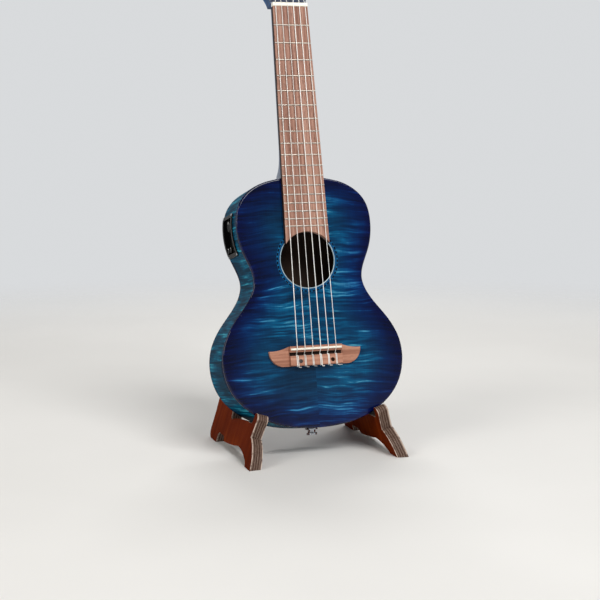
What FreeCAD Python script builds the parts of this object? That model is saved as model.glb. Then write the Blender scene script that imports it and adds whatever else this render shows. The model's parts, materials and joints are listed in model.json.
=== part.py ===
"""Small six-string nylon guitar standing in a folding two-leg plywood stand.

Row frame: +Z up, the guitar faces -Y, the origin is under the middle of the whole object on the floor.
The guitar has its own upright frame: X across, Y from the soundboard to the back, Z up from the saddle.
"""
import FreeCAD, Part
import math
import os

os.makedirs("parts", exist_ok=True)
Vec = FreeCAD.Vector

# ---- driving dimensions (millimetres, degrees) ----
# placing of the guitar in the row frame
LEAN = 13.26                # guitar leans back
SADDLE_Y = -56.2            # saddle above and before the origin
SADDLE_Z = 132.0

# guitar scale and body
SCALE_LENGTH = 433.0
FRET_COUNT = 18
TAIL_Z = -97.9
SHOULDER_Z = 217.3
DEPTH_AT_TAIL = 70.0
DEPTH_AT_NECK = 62.0
HALF_OUTLINE = [            # half width and height round the body, neck joint to tail
    (0, 217.3), (30.8, 214.5), (60.4, 205.8), (83.3, 184.2), (88.9, 157.0), (83.2, 123.2), (71.4, 86.0),
    (81.0, 61.7), (97.8, 40.0), (115.0, 9.2), (118.2, -15.1), (108.1, -50.7), (82.0, -77.1), (48.1, -92.1),
    (0, -97.9)]
OUTLINE_SAMPLES = 64
STAVES = 16                 # bent lengths that each ring of the body is made of
STAVE_CENTRE_Z = 60.0
PLATE = 2.5                 # soundboard and back thickness
RIM = 2.2
BINDING_WIDTH = 2.0
BINDING_DEPTH = 3.0
LINING = (4.8, 6.5)         # width, depth
HOLE_Z = 111.2
HOLE_RADIUS = 35.0
ROSETTE = (36.5, 40.8, 0.8)  # inner radius, outer radius, depth

# neck and head
BOARD_THICKNESS = 6.5
BOARD_HALF_AT_SADDLE = 31.2
BOARD_TAPER = 0.0187
FRET_CROWN = (2.0, 1.0)     # width, height
FRET_TANG = (0.6, 1.6)
NUT_THICKNESS = 5.0
NUT_HEIGHT = 8.0
NECK_DEPTH = (13.5, 16.5)   # at the nut, at the heel
HEEL_DEPTH = 56.0
HEAD_ANGLE = 12.0
HEAD_LENGTH = 138.0
HEAD_THICKNESS = 14.0
VENEER = 1.5
NUT_END_Z = SCALE_LENGTH + NUT_THICKNESS

# bridge
BRIDGE_HALF_LENGTH = 59.6
BRIDGE_BLOCK_HALF = 34.0
BRIDGE_HEIGHT = 8.0
WING_HEIGHT = 4.0
SADDLE_HALF = 33.0
SADDLE_THICKNESS = 2.5
SADDLE_TOP = 10.1
SADDLE_FOOT = 3.6
PICKUP_THICKNESS = 1.0
TIE_HOLE_Y = -4.6
TIE_BACK_Z = -20.6
BRIDGE_SCREW = (20.9, -15.0)

# strings, low to high
STRING_RADII = [0.55, 0.46, 0.40, 0.52, 0.43, 0.37]
SPREAD_AT_SADDLE = 25.5
SPREAD_AT_NUT = 19.6
STRING_BEND = 1.5
COIL_Y = -5.0               # winding on a post, before the head's face

# tuning machines, in the head's frame
POST_X = 20.0
POST_Z = [30.0, 68.0, 106.0]
POST_RADIUS = 3.0
POST_FRONT = -13.0
GEAR_RADIUS = 4.6
WORM_OFFSET = 7.2
WORM_RADIUS = 2.0
SHAFT_RADIUS = 1.5
WORM_Y = 20.3
FIT = 0.06                  # radial running clearance of posts, shafts and knobs

# preamp in the left side
PREAMP_Y = (18.0, 60.0)
PREAMP_Z = (122.0, 175.0)
PREAMP_PROUD = 1.6
PREAMP_FLOOR_X = -83.0
PREAMP_BACK_X = -56.0
VOLUME_KNOB = (42.0, 161.5, 7.5)    # y, z, radius
BASS_KNOB = (50.0, 131.5, 3.6)
TREBLE_KNOB = (39.5, 131.5, 3.6)
TUNER_BUTTON = (29.5, 131.5, 2.6)
WINDOW = (36.5, 43.5, 138.5, 151.5)
BUTTON_TRAVEL = 1.0

# output jack in the tail
JACK_Y = 34.0
JACK_PROUD = 9.0
JACK_BORE = 3.25
JACK_BORE_LENGTH = 34.0
JACK_INNER_Z = -46.0

# stand
FOLD_ANGLE = 17.5           # each leg leans in by this much when open
PIN_Z = 279.0
PIN_RADIUS = 4.0
LEG_THICKNESS = 14.0
LEG_GAP = 0.25              # from the middle plane to each leg when folded
KNUCKLE_RADIUS = 13.0
HINGE_Y = (110.0, 150.0)    # knuckles, measured back from the saddle
KNUCKLE_CUTS = (123.45, 136.55)
FOOT_OFFSET = 18.0          # leg profile heights are measured from this far under the row's floor


# ---- helpers ----
def box(x0, x1, y0, y1, z0, z1):
    return Part.makeBox(x1 - x0, y1 - y0, z1 - z0, Vec(x0, y0, z0))


def cylinder(radius, start, end):
    start, end = Vec(*start), Vec(*end)
    return Part.makeCylinder(radius, start.distanceToPoint(end), start, end - start)


def fuse(shapes):
    shapes = list(shapes)
    joined = shapes[0].multiFuse(shapes[1:]) if len(shapes) > 1 else shapes[0]
    return joined.removeSplitter()


def group(shapes):
    return Part.makeCompound(list(shapes))


def moved(shape, x=0.0, y=0.0, z=0.0):
    copy = shape.copy()
    copy.translate(Vec(x, y, z))
    return copy


def turned(shape, centre, axis, angle):
    copy = shape.copy()
    copy.rotate(Vec(*centre), Vec(*axis), angle)
    return copy


def mirrored(shape):
    return shape.mirror(Vec(0, 0, 0), Vec(1, 0, 0))


def prism(wire, direction):
    return Part.Face(wire).extrude(Vec(*direction))


def place_guitar(shape):
    """From the guitar's frame to the row frame."""
    return moved(turned(shape, (0, 0, 0), (1, 0, 0), -LEAN), 0, SADDLE_Y, SADDLE_Z)


def place_head(shape):
    """From the head's frame (face at Y 0, Z up from the nut's end) to the guitar's frame."""
    return moved(turned(shape, (0, 0, 0), (1, 0, 0), -HEAD_ANGLE), 0, 0, NUT_END_Z)


def tube(points, radius, bend):
    """Straight runs joined by tangent arcs."""
    edges = []
    start = points[0]
    for before, corner, after in zip(points, points[1:], points[2:]):
        to_before = (before - corner).normalize()
        to_after = (after - corner).normalize()
        half = to_before.getAngle(to_after) / 2
        reach = bend / math.tan(half)
        arc_start = corner + to_before * reach
        arc_end = corner + to_after * reach
        middle = (to_before + to_after).normalize()
        arc_middle = corner + middle * (bend / math.sin(half) - bend)
        edges.append(Part.LineSegment(start, arc_start).toShape())
        edges.append(Part.Arc(arc_start, arc_middle, arc_end).toShape())
        start = arc_end
    edges.append(Part.LineSegment(start, points[-1]).toShape())
    section = Part.Wire([Part.Circle(points[0], points[1] - points[0], radius).toShape()])
    return Part.Wire(edges).makePipeShell([section], True, False)


# ---- body outline ----
def outline_curve():
    right = [Vec(x, 0, z) for x, z in HALF_OUTLINE]
    left = [Vec(-point.x, 0, point.z) for point in right[-2:0:-1]]
    curve = Part.BSplineCurve()
    curve.interpolate(Points=right + left, PeriodicFlag=True)
    return curve


BODY_CURVE = outline_curve()


def body_wire(inset, y):
    """The body's outline, moved in by inset, at depth y."""
    if abs(inset) < 1e-9:
        curve = BODY_CURVE.copy()
    else:
        first, last = BODY_CURVE.FirstParameter, BODY_CURVE.LastParameter
        points = []
        for index in range(OUTLINE_SAMPLES):
            parameter = first + (last - first) * index / OUTLINE_SAMPLES
            tangent = BODY_CURVE.tangent(parameter)[0]
            inward = Vec(tangent.z, 0, -tangent.x)
            points.append(BODY_CURVE.value(parameter) + inward * inset)
        curve = Part.BSplineCurve()
        curve.interpolate(Points=points, PeriodicFlag=True)
    wire = Part.Wire([curve.toShape()])
    wire.translate(Vec(0, y, 0))
    return wire


def body_prism(inset, y0, y1):
    return prism(body_wire(inset, y0), (0, y1 - y0, 0))


def body_ring(outer, inner, y0, y1):
    return body_prism(outer, y0, y1).cut(body_prism(inner, y0 - 1, y1 + 1))


def in_staves(ring):
    """Cut a ring of the body into bent lengths that meet end to end, with none round the chamber."""
    first, last = BODY_CURVE.FirstParameter, BODY_CURVE.LastParameter
    centre = Vec(0, -20, STAVE_CENTRE_Z)
    rays = []
    for index in range(STAVES + 1):
        point = BODY_CURVE.value(first + (last - first) * index / STAVES)
        rays.append(centre + Vec(point.x, 0, point.z - STAVE_CENTRE_Z) * 2)
    staves = []
    for start, end in zip(rays, rays[1:]):
        wedge = prism(Part.makePolygon([centre, start, end, centre]), (0, 120, 0))
        staves += ring.common(wedge).Solids
    return group(staves)


BACK_ANGLE = math.degrees(math.atan2(DEPTH_AT_TAIL - DEPTH_AT_NECK, SHOULDER_Z - TAIL_Z))


def behind_back(gap):
    """Everything more than gap behind the slanted back face."""
    slab = box(-150, 150, 0, 200, -150, 400)
    return moved(turned(slab, (0, 0, 0), (1, 0, 0), BACK_ANGLE), 0, DEPTH_AT_TAIL + gap, TAIL_Z)


def rounded_box(x0, x1, y0, y1, z0, z1, radius, axis):
    """A box with its four edges along axis rounded."""
    solid = box(x0, x1, y0, y1, z0, z1)
    edges = []
    for edge in solid.Edges:
        along = edge.Vertexes[1].Point - edge.Vertexes[0].Point
        if abs(abs(getattr(along, axis)) - along.Length) < 1e-6:
            edges.append(edge)
    return solid.makeFillet(radius, edges)


# ---- guitar body ----
def hole_cylinder(radius, y0, y1):
    return cylinder(radius, (0, y0, HOLE_Z), (0, y1, HOLE_Z))


def bridge_screw_holes(radius):
    x, z = BRIDGE_SCREW
    return group(cylinder(radius, (side * x, -12, z), (side * x, 12, z)) for side in (-1, 1))


def pickup_wire_hole():
    return cylinder(1.6, (-29.0, -SADDLE_FOOT - 0.5, 0), (-29.0, 8, 0))


def make_soundboard():
    board = body_prism(BINDING_WIDTH, 0, PLATE).cut(hole_cylinder(HOLE_RADIUS, -1, PLATE + 1))
    inner, outer, depth = ROSETTE
    groove = hole_cylinder(outer, -1, depth).cut(hole_cylinder(inner, -2, depth + 1))
    return board.cut(groove).cut(bridge_screw_holes(1.4)).cut(pickup_wire_hole())


def fingerboard_plan(y0, y1, z0, z1):
    def half(z):
        return BOARD_HALF_AT_SADDLE - BOARD_TAPER * z
    corners = [(-half(z0), z0), (half(z0), z0), (half(z1), z1), (-half(z1), z1), (-half(z0), z0)]
    return prism(Part.makePolygon([Vec(x, y0, z) for x, z in corners]), (0, y1 - y0, 0))


def make_rosette():
    inner, outer, depth = ROSETTE
    return hole_cylinder(outer, 0, depth).cut(hole_cylinder(inner, -1, depth + 1))


def preamp_opening(clearance=0.0):
    y0, y1 = PREAMP_Y
    z0, z1 = PREAMP_Z
    return box(-120, PREAMP_BACK_X + clearance, y0 + 2.2 - clearance, y1 - 2.2 + clearance,
               z0 + 3.2 - clearance, z1 - 3.2 + clearance)


def jack_hole(radius):
    return cylinder(radius, (0, JACK_Y, TAIL_Z - 20), (0, JACK_Y, TAIL_Z + 60))


def make_side_rims():
    rims = body_ring(0, RIM, BINDING_DEPTH, DEPTH_AT_TAIL + 5).cut(behind_back(-BINDING_DEPTH))
    return in_staves(rims.cut(preamp_opening()).cut(jack_hole(6.0)).cut(preamp_screw_holes()))


def make_back_panel():
    return body_prism(BINDING_WIDTH, 40, DEPTH_AT_TAIL + 5).cut(behind_back(0)).common(behind_back(-PLATE))


def make_back_binding():
    ring = body_ring(0, BINDING_WIDTH, 40, DEPTH_AT_TAIL + 5)
    return in_staves(ring.cut(behind_back(0)).common(behind_back(-BINDING_DEPTH)))


def inside(shape, inset):
    """The part of a shape inside the rims and between soundboard and back."""
    return shape.common(body_prism(inset, PLATE, DEPTH_AT_TAIL)).cut(behind_back(-PLATE))


def neck_block_space():
    return box(-28, 28, 0, 80, SHOULDER_Z - 38, SHOULDER_Z)


def tail_block_space():
    return box(-24, 24, 0, 80, TAIL_Z, TAIL_Z + 20)


def make_linings():
    width, depth = LINING
    top = body_ring(RIM, RIM + width, PLATE, PLATE + depth)
    back = body_ring(RIM, RIM + width, 40, DEPTH_AT_TAIL)
    back = back.cut(behind_back(-PLATE)).common(behind_back(-PLATE - depth))
    spaces = group([neck_block_space(), tail_block_space(), preamp_opening(0.5)])
    return group([top.cut(spaces).cut(preamp_screw_holes()), back.cut(spaces).cut(preamp_screw_holes())])


def make_top_braces():
    inset = RIM + LINING[0]
    deep = PLATE + 11
    bars = [inside(box(-120, 120, PLATE, deep, z - 3.5, z + 3.5), inset) for z in (68.0, 158.0)]
    for slope in (-24, -12, 0, 12, 24):
        bar = box(-2.5, 2.5, PLATE, PLATE + 6, TAIL_Z + 22, 60)
        bar = turned(bar, (0, 0, 150), (0, 1, 0), slope * 0.8)
        bars.append(inside(bar, inset).cut(box(-63, 63, 0, 20, -22, 14)))
    return group(solid for bar in bars for solid in bar.Solids)


def make_back_braces():
    inset = RIM + LINING[0]
    bars = [inside(box(-120, 120, 40, 80, z - 3, z + 3), inset).common(behind_back(-PLATE - 11))
            for z in (-45.0, 66.0, 175.5)]
    return group(bars)


def make_bridge_plate():
    plate = box(-62, 62, PLATE, PLATE + 2, -21, 13)
    return plate.cut(bridge_screw_holes(1.4)).cut(pickup_wire_hole())


def make_tail_block():
    return inside(tail_block_space(), RIM).cut(jack_hole(6.0))


# ---- neck ----
def fret_z(number):
    return SCALE_LENGTH * 2 ** (-number / 12)


def fret_tangs():
    width, depth = FRET_TANG
    tangs = []
    for number in range(1, FRET_COUNT + 1):
        z = fret_z(number)
        half = BOARD_HALF_AT_SADDLE - BOARD_TAPER * z - 1.2
        top = -BOARD_THICKNESS
        tangs.append(box(-half, half, top, top + depth, z - width / 2, z + width / 2))
    return tangs


def make_fingerboard():
    board = fingerboard_plan(-BOARD_THICKNESS, 0, HOLE_Z, SCALE_LENGTH)
    return board.cut(hole_cylinder(HOLE_RADIUS, -20, 20)).cut(group(fret_tangs()))


def make_frets():
    width, height = FRET_CROWN
    frets = []
    for number, tang in enumerate(fret_tangs(), 1):
        z = fret_z(number)
        half = BOARD_HALF_AT_SADDLE - BOARD_TAPER * z - 0.1
        top = -BOARD_THICKNESS
        low, high = Vec(-half, top, z - width / 2), Vec(-half, top, z + width / 2)
        arc = Part.Arc(low, Vec(-half, top - height, z), high)
        base = Part.LineSegment(high, low)
        crown = prism(Part.Wire([arc.toShape(), base.toShape()]), (2 * half, 0, 0))
        frets.append(crown.fuse(tang))
    return group(frets)


def d_section(z, half, depth, y0=0.0):
    """Neck section: flat on the fingerboard side, an elliptic back."""
    points = [Vec(-half, y0, z)]
    for step in range(1, 12):
        angle = math.pi * step / 12
        points.append(Vec(-half * math.cos(angle), y0 + 2.0 + (depth - 2.0) * math.sin(angle), z))
    points.append(Vec(half, y0, z))
    curve = Part.BSplineCurve()
    curve.interpolate(Points=points)
    flat = Part.LineSegment(points[-1], points[0])
    return Part.Wire([curve.toShape(), flat.toShape()])


def head_plan(y0, y1):
    """The head's outline, extruded from depth y0 to y1 in the head's frame."""
    half_nut = BOARD_HALF_AT_SADDLE - BOARD_TAPER * SCALE_LENGTH
    corners = [(half_nut, 0), (24.5, 6), (29.0, 16), (32.0, 118), (28.0, 129), (14.0, 132),
               (0, HEAD_LENGTH)]

    def at(index, side):
        x, z = corners[index]
        return Vec(side * x, y0, z)

    def edges(side):
        return [Part.Arc(at(0, side), at(1, side), at(2, side)), Part.LineSegment(at(2, side), at(3, side)),
                Part.Arc(at(3, side), at(4, side), at(5, side)), Part.LineSegment(at(5, side), at(6, side))]
    shapes = [edge.toShape() for edge in edges(1) + edges(-1)]
    shapes.append(Part.LineSegment(at(0, -1), at(0, 1)).toShape())
    return prism(Part.Wire(Part.__sortEdges__(shapes)), (0, y1 - y0, 0))


def post_holes(radius):
    return group(cylinder(radius, (x, -2, z), (x, 40, z)) for x, z, side in machine_positions())


def make_heel():
    root = SHOULDER_Z
    side = [Part.LineSegment(Vec(0, 0, root), Vec(0, HEEL_DEPTH, root)),
            Part.LineSegment(Vec(0, HEEL_DEPTH, root), Vec(0, HEEL_DEPTH, root + 7)),
            Part.Arc(Vec(0, HEEL_DEPTH, root + 7), Vec(0, 27, root + 15.5), Vec(0, 14, root + 42)),
            Part.LineSegment(Vec(0, 14, root + 42), Vec(0, 0, root + 42)),
            Part.LineSegment(Vec(0, 0, root + 42), Vec(0, 0, root))]
    profile = Part.Wire([edge.toShape() for edge in side])
    slab = moved(prism(profile, (60, 0, 0)), -30)
    half = BOARD_HALF_AT_SADDLE - BOARD_TAPER * root
    front = [Part.LineSegment(Vec(-half, 0, 0), Vec(half, 0, 0)),
             Part.LineSegment(Vec(half, 0, 0), Vec(half - 3, 12, 0)),
             Part.LineSegment(Vec(half - 3, 12, 0), Vec(12, HEEL_DEPTH - 6, 0)),
             Part.Arc(Vec(12, HEEL_DEPTH - 6, 0), Vec(0, HEEL_DEPTH, 0), Vec(-12, HEEL_DEPTH - 6, 0)),
             Part.LineSegment(Vec(-12, HEEL_DEPTH - 6, 0), Vec(3 - half, 12, 0)),
             Part.LineSegment(Vec(3 - half, 12, 0), Vec(-half, 0, 0))]
    taper = prism(Part.Wire([edge.toShape() for edge in front]), (0, 0, 60))
    return slab.common(moved(taper, 0, 0, root - 5))


def make_neck():
    """Shaft with a D section, heel and head in one piece of wood."""
    sections = []
    for z, depth in ((SHOULDER_Z, NECK_DEPTH[1]), (NUT_END_Z + 6, NECK_DEPTH[0])):
        sections.append(d_section(z, BOARD_HALF_AT_SADDLE - BOARD_TAPER * z, depth))
    shaft = Part.makeLoft(sections, True).cut(place_head(box(-50, 50, -40, VENEER, 0, 60)))
    head = place_head(head_plan(VENEER, VENEER + HEAD_THICKNESS).cut(post_holes(4.6)))
    return fuse([shaft, head, make_heel()]).cut(body_prism(0, -1, DEPTH_AT_TAIL + 5))


def make_nut():
    half = BOARD_HALF_AT_SADDLE - BOARD_TAPER * SCALE_LENGTH - 0.2
    bar = rounded_box(-half, half, -NUT_HEIGHT, 0, SCALE_LENGTH, NUT_END_Z, 1.2, "x")
    return bar.cut(string_grooves(0.02))


def make_head_veneer():
    return place_head(head_plan(0, VENEER).cut(post_holes(4.6)))


# ---- bridge ----
def rounded_back(block):
    """Round the tie block's upper back edge, where the strings go over it."""
    edges = [edge for edge in block.Edges
             if edge.CenterOfMass.y < 0.1 - BRIDGE_HEIGHT and edge.CenterOfMass.z < TIE_BACK_Z + 0.1]
    return block.makeFillet(1.5, edges)


def make_bridge():
    tip = BRIDGE_HALF_LENGTH
    block = BRIDGE_BLOCK_HALF

    def wing(side):
        point = Vec(side * tip, 0, -1.0)
        return [Part.Arc(Vec(side * block, 0, 3.8), Vec(side * 47.0, 0, -0.2), point),
                Part.Arc(point, Vec(side * 55.5, 0, -13.5), Vec(side * 43.0, 0, TIE_BACK_Z))]
    edges = [edge.toShape() for edge in wing(1) + wing(-1)]
    edges.append(Part.LineSegment(Vec(-block, 0, 3.8), Vec(block, 0, 3.8)).toShape())
    edges.append(Part.LineSegment(Vec(-43.0, 0, TIE_BACK_Z), Vec(43.0, 0, TIE_BACK_Z)).toShape())
    plan = Part.Wire(Part.__sortEdges__(edges))
    wings = prism(plan, (0, -WING_HEIGHT, 0))
    centre = box(-block, block, -BRIDGE_HEIGHT, 0, TIE_BACK_Z, 3.8)
    bridge = fuse([wings, rounded_back(centre)])
    channel = box(-block - 1, block + 1, -BRIDGE_HEIGHT - 1, -3.4, -8.0, -3.6)
    saddle_slot = box(-SADDLE_HALF, SADDLE_HALF, -BRIDGE_HEIGHT - 1, PICKUP_THICKNESS - SADDLE_FOOT,
                      -SADDLE_THICKNESS / 2, SADDLE_THICKNESS / 2)
    holes = [cylinder(1.0, (string_x(index, 0), TIE_HOLE_Y, -25), (string_x(index, 0), TIE_HOLE_Y, -5))
             for index in range(6)]
    heads = [cylinder(2.6, (side * BRIDGE_SCREW[0], -9, BRIDGE_SCREW[1]), (side * BRIDGE_SCREW[0], -6.2,
             BRIDGE_SCREW[1])) for side in (-1, 1)]
    bridge = bridge.cut(group([channel, saddle_slot])).cut(group(holes + heads))
    return bridge.cut(bridge_screw_holes(1.4)).cut(pickup_wire_hole()).cut(string_grooves(0.1))


def make_saddle():
    half = SADDLE_THICKNESS / 2
    bar = rounded_box(-SADDLE_HALF, SADDLE_HALF, -SADDLE_TOP, -SADDLE_FOOT, -half, half, 0.6, "x")
    return bar.cut(string_grooves(0.02))


def make_saddle_pickup():
    return box(-SADDLE_HALF + 1, SADDLE_HALF - 1, -SADDLE_FOOT, PICKUP_THICKNESS - SADDLE_FOOT, -1.1, 1.1)


def make_bridge_screws():
    screws = []
    for side in (-1, 1):
        x, z = side * BRIDGE_SCREW[0], BRIDGE_SCREW[1]
        shank = cylinder(1.25, (x, -6.2, z), (x, 8.0, z))
        head = cylinder(2.5, (x, -7.6, z), (x, -6.2, z))
        nut = cylinder(2.8, (x, PLATE + 2, z), (x, PLATE + 4.5, z)).cut(shank)
        screws += [shank.fuse(head), nut]
    return group(screws)


# ---- strings ----
def string_x(index, z):
    spread = SPREAD_AT_SADDLE + (SPREAD_AT_NUT - SPREAD_AT_SADDLE) * z / SCALE_LENGTH
    return spread * (index / 2.5 - 1)


def post_of(index):
    """Head position of a string's post: outer strings end on the posts nearest the nut."""
    side = -1 if index < 3 else 1
    row = index if index < 3 else 5 - index
    return side * POST_X, POST_Z[row]


def to_guitar_frame(point):
    vertex = place_head(Part.Vertex(Vec(*point)))
    return vertex.Point


def coil_radius(index):
    """Radius from a post's axis to the middle of the string wound on it."""
    return POST_RADIUS + 0.12 + STRING_RADII[index]


def string_path(index):
    """Over the tie block, down its back, through its hole, over the saddle and the nut, to the post."""
    bridge_x = string_x(index, 0)
    nut_x = string_x(index, SCALE_LENGTH)
    gap = STRING_RADII[index] + 0.04
    post_x, post_z = post_of(index)
    side = math.copysign(1, post_x)
    coil_side = to_guitar_frame((post_x - side * coil_radius(index), COIL_Y, post_z))
    return [Vec(bridge_x, -BRIDGE_HEIGHT - gap, -9.0), Vec(bridge_x, -BRIDGE_HEIGHT - gap, TIE_BACK_Z - gap),
            Vec(bridge_x, TIE_HOLE_Y, TIE_BACK_Z - gap), Vec(bridge_x, TIE_HOLE_Y, -6.5),
            Vec(bridge_x, -SADDLE_TOP - gap, -0.6), Vec(nut_x, -NUT_HEIGHT, SCALE_LENGTH + 2.5), coil_side]


def make_string(index):
    """A taut string with its winding, a sleeve that the post turns inside."""
    radius = STRING_RADII[index]
    run = tube(string_path(index), radius, STRING_BEND)
    post_x, post_z = post_of(index)
    low, high = COIL_Y - 3.2 * radius, COIL_Y + 3.2 * radius
    sleeve = cylinder(coil_radius(index) + radius, (post_x, low, post_z), (post_x, high, post_z))
    core = cylinder(coil_radius(index) - radius, (post_x, low - 1, post_z), (post_x, high + 1, post_z))
    return run.fuse(place_head(sleeve.cut(core)))


def string_grooves(extra):
    """Room for the strings where they cross the saddle, the nut and the bridge."""
    return group(tube(string_path(index), STRING_RADII[index] + extra, STRING_BEND) for index in range(6))


# ---- tuning machines, in the head's frame ----
def machine_positions():
    return [(side * POST_X, z, side) for side in (-1, 1) for z in POST_Z]


def make_housing(x, z, side):
    back = VENEER + HEAD_THICKNESS
    shell = rounded_box(x - 8.5, x + 8.5, back, back + 9.2, z - 7, z + 11.5, 2.0, "y")
    gear_space = cylinder(GEAR_RADIUS + 0.6, (x, back + 1, z), (x, back + 8.0, z))
    worm_z = z + WORM_OFFSET
    worm_space = cylinder(WORM_RADIUS + 0.5, (x - side * 5, WORM_Y, worm_z), (x + side * 6, WORM_Y, worm_z))
    shaft_hole = cylinder(SHAFT_RADIUS + FIT, (x, WORM_Y, worm_z), (x + side * 10, WORM_Y, worm_z))
    post_hole = cylinder(POST_RADIUS + FIT, (x, back - 1, z), (x, back + 3, z))
    screw_hole = cylinder(1.1, (x - side * 6.0, back - 1, z - 4.8), (x - side * 6.0, back + 12, z - 4.8))
    return shell.cut(group([gear_space, worm_space, shaft_hole, post_hole, screw_hole]))


def make_bushing(x, z):
    flange = cylinder(6.0, (x, -1.2, z), (x, 0, z))
    barrel = cylinder(4.6, (x, 0, z), (x, VENEER + HEAD_THICKNESS, z))
    return flange.fuse(barrel).cut(cylinder(POST_RADIUS + FIT, (x, -5, z), (x, 30, z)))


def make_machine_screw(x, z, side):
    back = VENEER + HEAD_THICKNESS
    sx, sz = x - side * 6.0, z - 4.8
    return cylinder(1.0, (sx, back, sz), (sx, back + 9.2, sz)).fuse(
        cylinder(1.9, (sx, back + 9.2, sz), (sx, back + 10.2, sz)))


def make_post(x, z):
    back = VENEER + HEAD_THICKNESS
    post = cylinder(POST_RADIUS, (x, POST_FRONT, z), (x, back + 6, z))
    gear = cylinder(GEAR_RADIUS, (x, back + 3.2, z), (x, back + 6.6, z))
    hole = cylinder(0.8, (x - 5, -9.5, z), (x + 5, -9.5, z))
    return post.fuse(gear).cut(hole)


def make_button(x, z, side):
    worm_z = z + WORM_OFFSET
    worm = cylinder(WORM_RADIUS, (x - side * 4.4, WORM_Y, worm_z), (x + side * 5.4, WORM_Y, worm_z))
    shaft = cylinder(SHAFT_RADIUS, (x, WORM_Y, worm_z), (side * 38.0, WORM_Y, worm_z))
    collar = cylinder(2.6, (side * 34.2, WORM_Y, worm_z), (side * 36.0, WORM_Y, worm_z))
    low, high = sorted((side * 35.5, side * 47.0))
    wing = rounded_box(low, high, WORM_Y - 3.6, WORM_Y + 3.6, worm_z - 7.2, worm_z + 7.2, 3.4, "y")
    return fuse([worm, shaft, collar, wing])


# ---- preamp ----
def preamp_knob_hole(knob, extra):
    y, z, radius = knob
    return cylinder(radius * 0.45 + extra, (PREAMP_FLOOR_X - 1, y, z), (PREAMP_FLOOR_X + 5, y, z))


def preamp_screw_places():
    y0, y1 = PREAMP_Y
    z0, z1 = PREAMP_Z
    return [(y, z) for y in (y0 + 2.6, y1 - 2.6) for z in (z0 + 1.7, z1 - 1.7)]


def preamp_knobs():
    return (VOLUME_KNOB, BASS_KNOB, TREBLE_KNOB)


def make_preamp_bezel():
    y0, y1 = PREAMP_Y
    z0, z1 = PREAMP_Z
    cap = rounded_box(-120, -60, y0, y1, z0, z1, 3.0, "x")
    plate = body_ring(-PREAMP_PROUD, 0, 0, 70).common(cap)
    room = box(-120, PREAMP_FLOOR_X + 2, 0, 80, 0, 300)
    tray = body_prism(0, 0, 70).common(preamp_opening()).common(room)
    pocket = rounded_box(-120, PREAMP_FLOOR_X, y0 + 4.4, y1 - 4.4, z0 + 4.6, z1 - 4.6, 2.0, "x")
    bezel = fuse([plate, tray]).cut(pocket)
    holes = [preamp_knob_hole(knob, FIT) for knob in preamp_knobs()]
    y, z, radius = TUNER_BUTTON
    holes.append(cylinder(radius + FIT, (PREAMP_FLOOR_X - 1, y, z), (PREAMP_FLOOR_X + 5, y, z)))
    wy0, wy1, wz0, wz1 = WINDOW
    holes.append(box(PREAMP_FLOOR_X - 1, PREAMP_FLOOR_X + 1.2, wy0, wy1, wz0, wz1))
    return bezel.cut(group(holes)).cut(preamp_screw_holes())


def make_preamp_housing():
    y0, y1 = PREAMP_Y
    z0, z1 = PREAMP_Z
    outer = box(PREAMP_FLOOR_X + 2, PREAMP_BACK_X, y0 + 2.2, y1 - 2.2, z0 + 3.2, z1 - 3.2)
    inner = box(PREAMP_FLOOR_X + 5.5, PREAMP_BACK_X - 1.6, y0 + 4, y1 - 4, z0 + 5, z1 - 5)
    holes = [preamp_knob_hole(knob, FIT) for knob in preamp_knobs()]
    y, z, radius = TUNER_BUTTON
    holes.append(cylinder(radius + FIT, (PREAMP_FLOOR_X - 1, y, z), (PREAMP_FLOOR_X + 6, y, z)))
    return outer.cut(group([inner] + holes)).common(body_prism(RIM, 0, 70))


def make_preamp_board():
    y0, y1 = PREAMP_Y
    z0, z1 = PREAMP_Z
    return box(-74.5, -72.9, y0 + 4.3, y1 - 4.3, z0 + 5.3, z1 - 5.3)


def make_coin_cells():
    return group(cylinder(10.0, (x, 39, 148.5), (x + 3.2, 39, 148.5)) for x in (-72.9, -69.7))


def make_preamp_window():
    wy0, wy1, wz0, wz1 = WINDOW
    return box(PREAMP_FLOOR_X - 0.4, PREAMP_FLOOR_X + 1.2, wy0, wy1, wz0, wz1)


def make_preamp_knob(knob):
    y, z, radius = knob
    stem = cylinder(radius * 0.45, (PREAMP_FLOOR_X - 1, y, z), (PREAMP_FLOOR_X + 4.5, y, z))
    cap = cylinder(radius, (PREAMP_FLOOR_X - 4.2, y, z), (PREAMP_FLOOR_X - 0.3, y, z))
    mark = box(PREAMP_FLOOR_X - 5, PREAMP_FLOOR_X - 3.6, y - 0.4, y + 0.4,
               z + radius * 0.35, z + radius + 1)
    return cap.makeFillet(0.5, [cap.Edges[0]]).fuse(stem).cut(mark)


def make_preamp_button():
    y, z, radius = TUNER_BUTTON
    stem = cylinder(radius, (PREAMP_FLOOR_X - 2.4, y, z), (PREAMP_FLOOR_X + 5.9, y, z))
    flange = cylinder(radius + 1.0, (PREAMP_FLOOR_X + 5.9, y, z), (PREAMP_FLOOR_X + 6.6, y, z))
    return fuse([stem, flange])


def make_preamp_screws():
    """Pan-head screws through the bezel's frame into the side."""
    screws = []
    for y, z in preamp_screw_places():
        seat = screw_seat_x(z)
        screws.append(cylinder(0.75, (seat, y, z), (seat + 3.5, y, z)).fuse(
            cylinder(1.5, (seat - 1.0, y, z), (seat, y, z))))
    return group(screws)


def screw_seat_x(z):
    return -side_half_width(z) - PREAMP_PROUD + 0.6


def preamp_screw_holes():
    """Counterbores and shank holes for the bezel's screws."""
    holes = []
    for y, z in preamp_screw_places():
        seat = screw_seat_x(z)
        holes.append(cylinder(0.8, (seat - 1, y, z), (seat + 4, y, z)))
        holes.append(cylinder(1.55, (seat - 20, y, z), (seat, y, z)))
    return group(holes)


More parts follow.
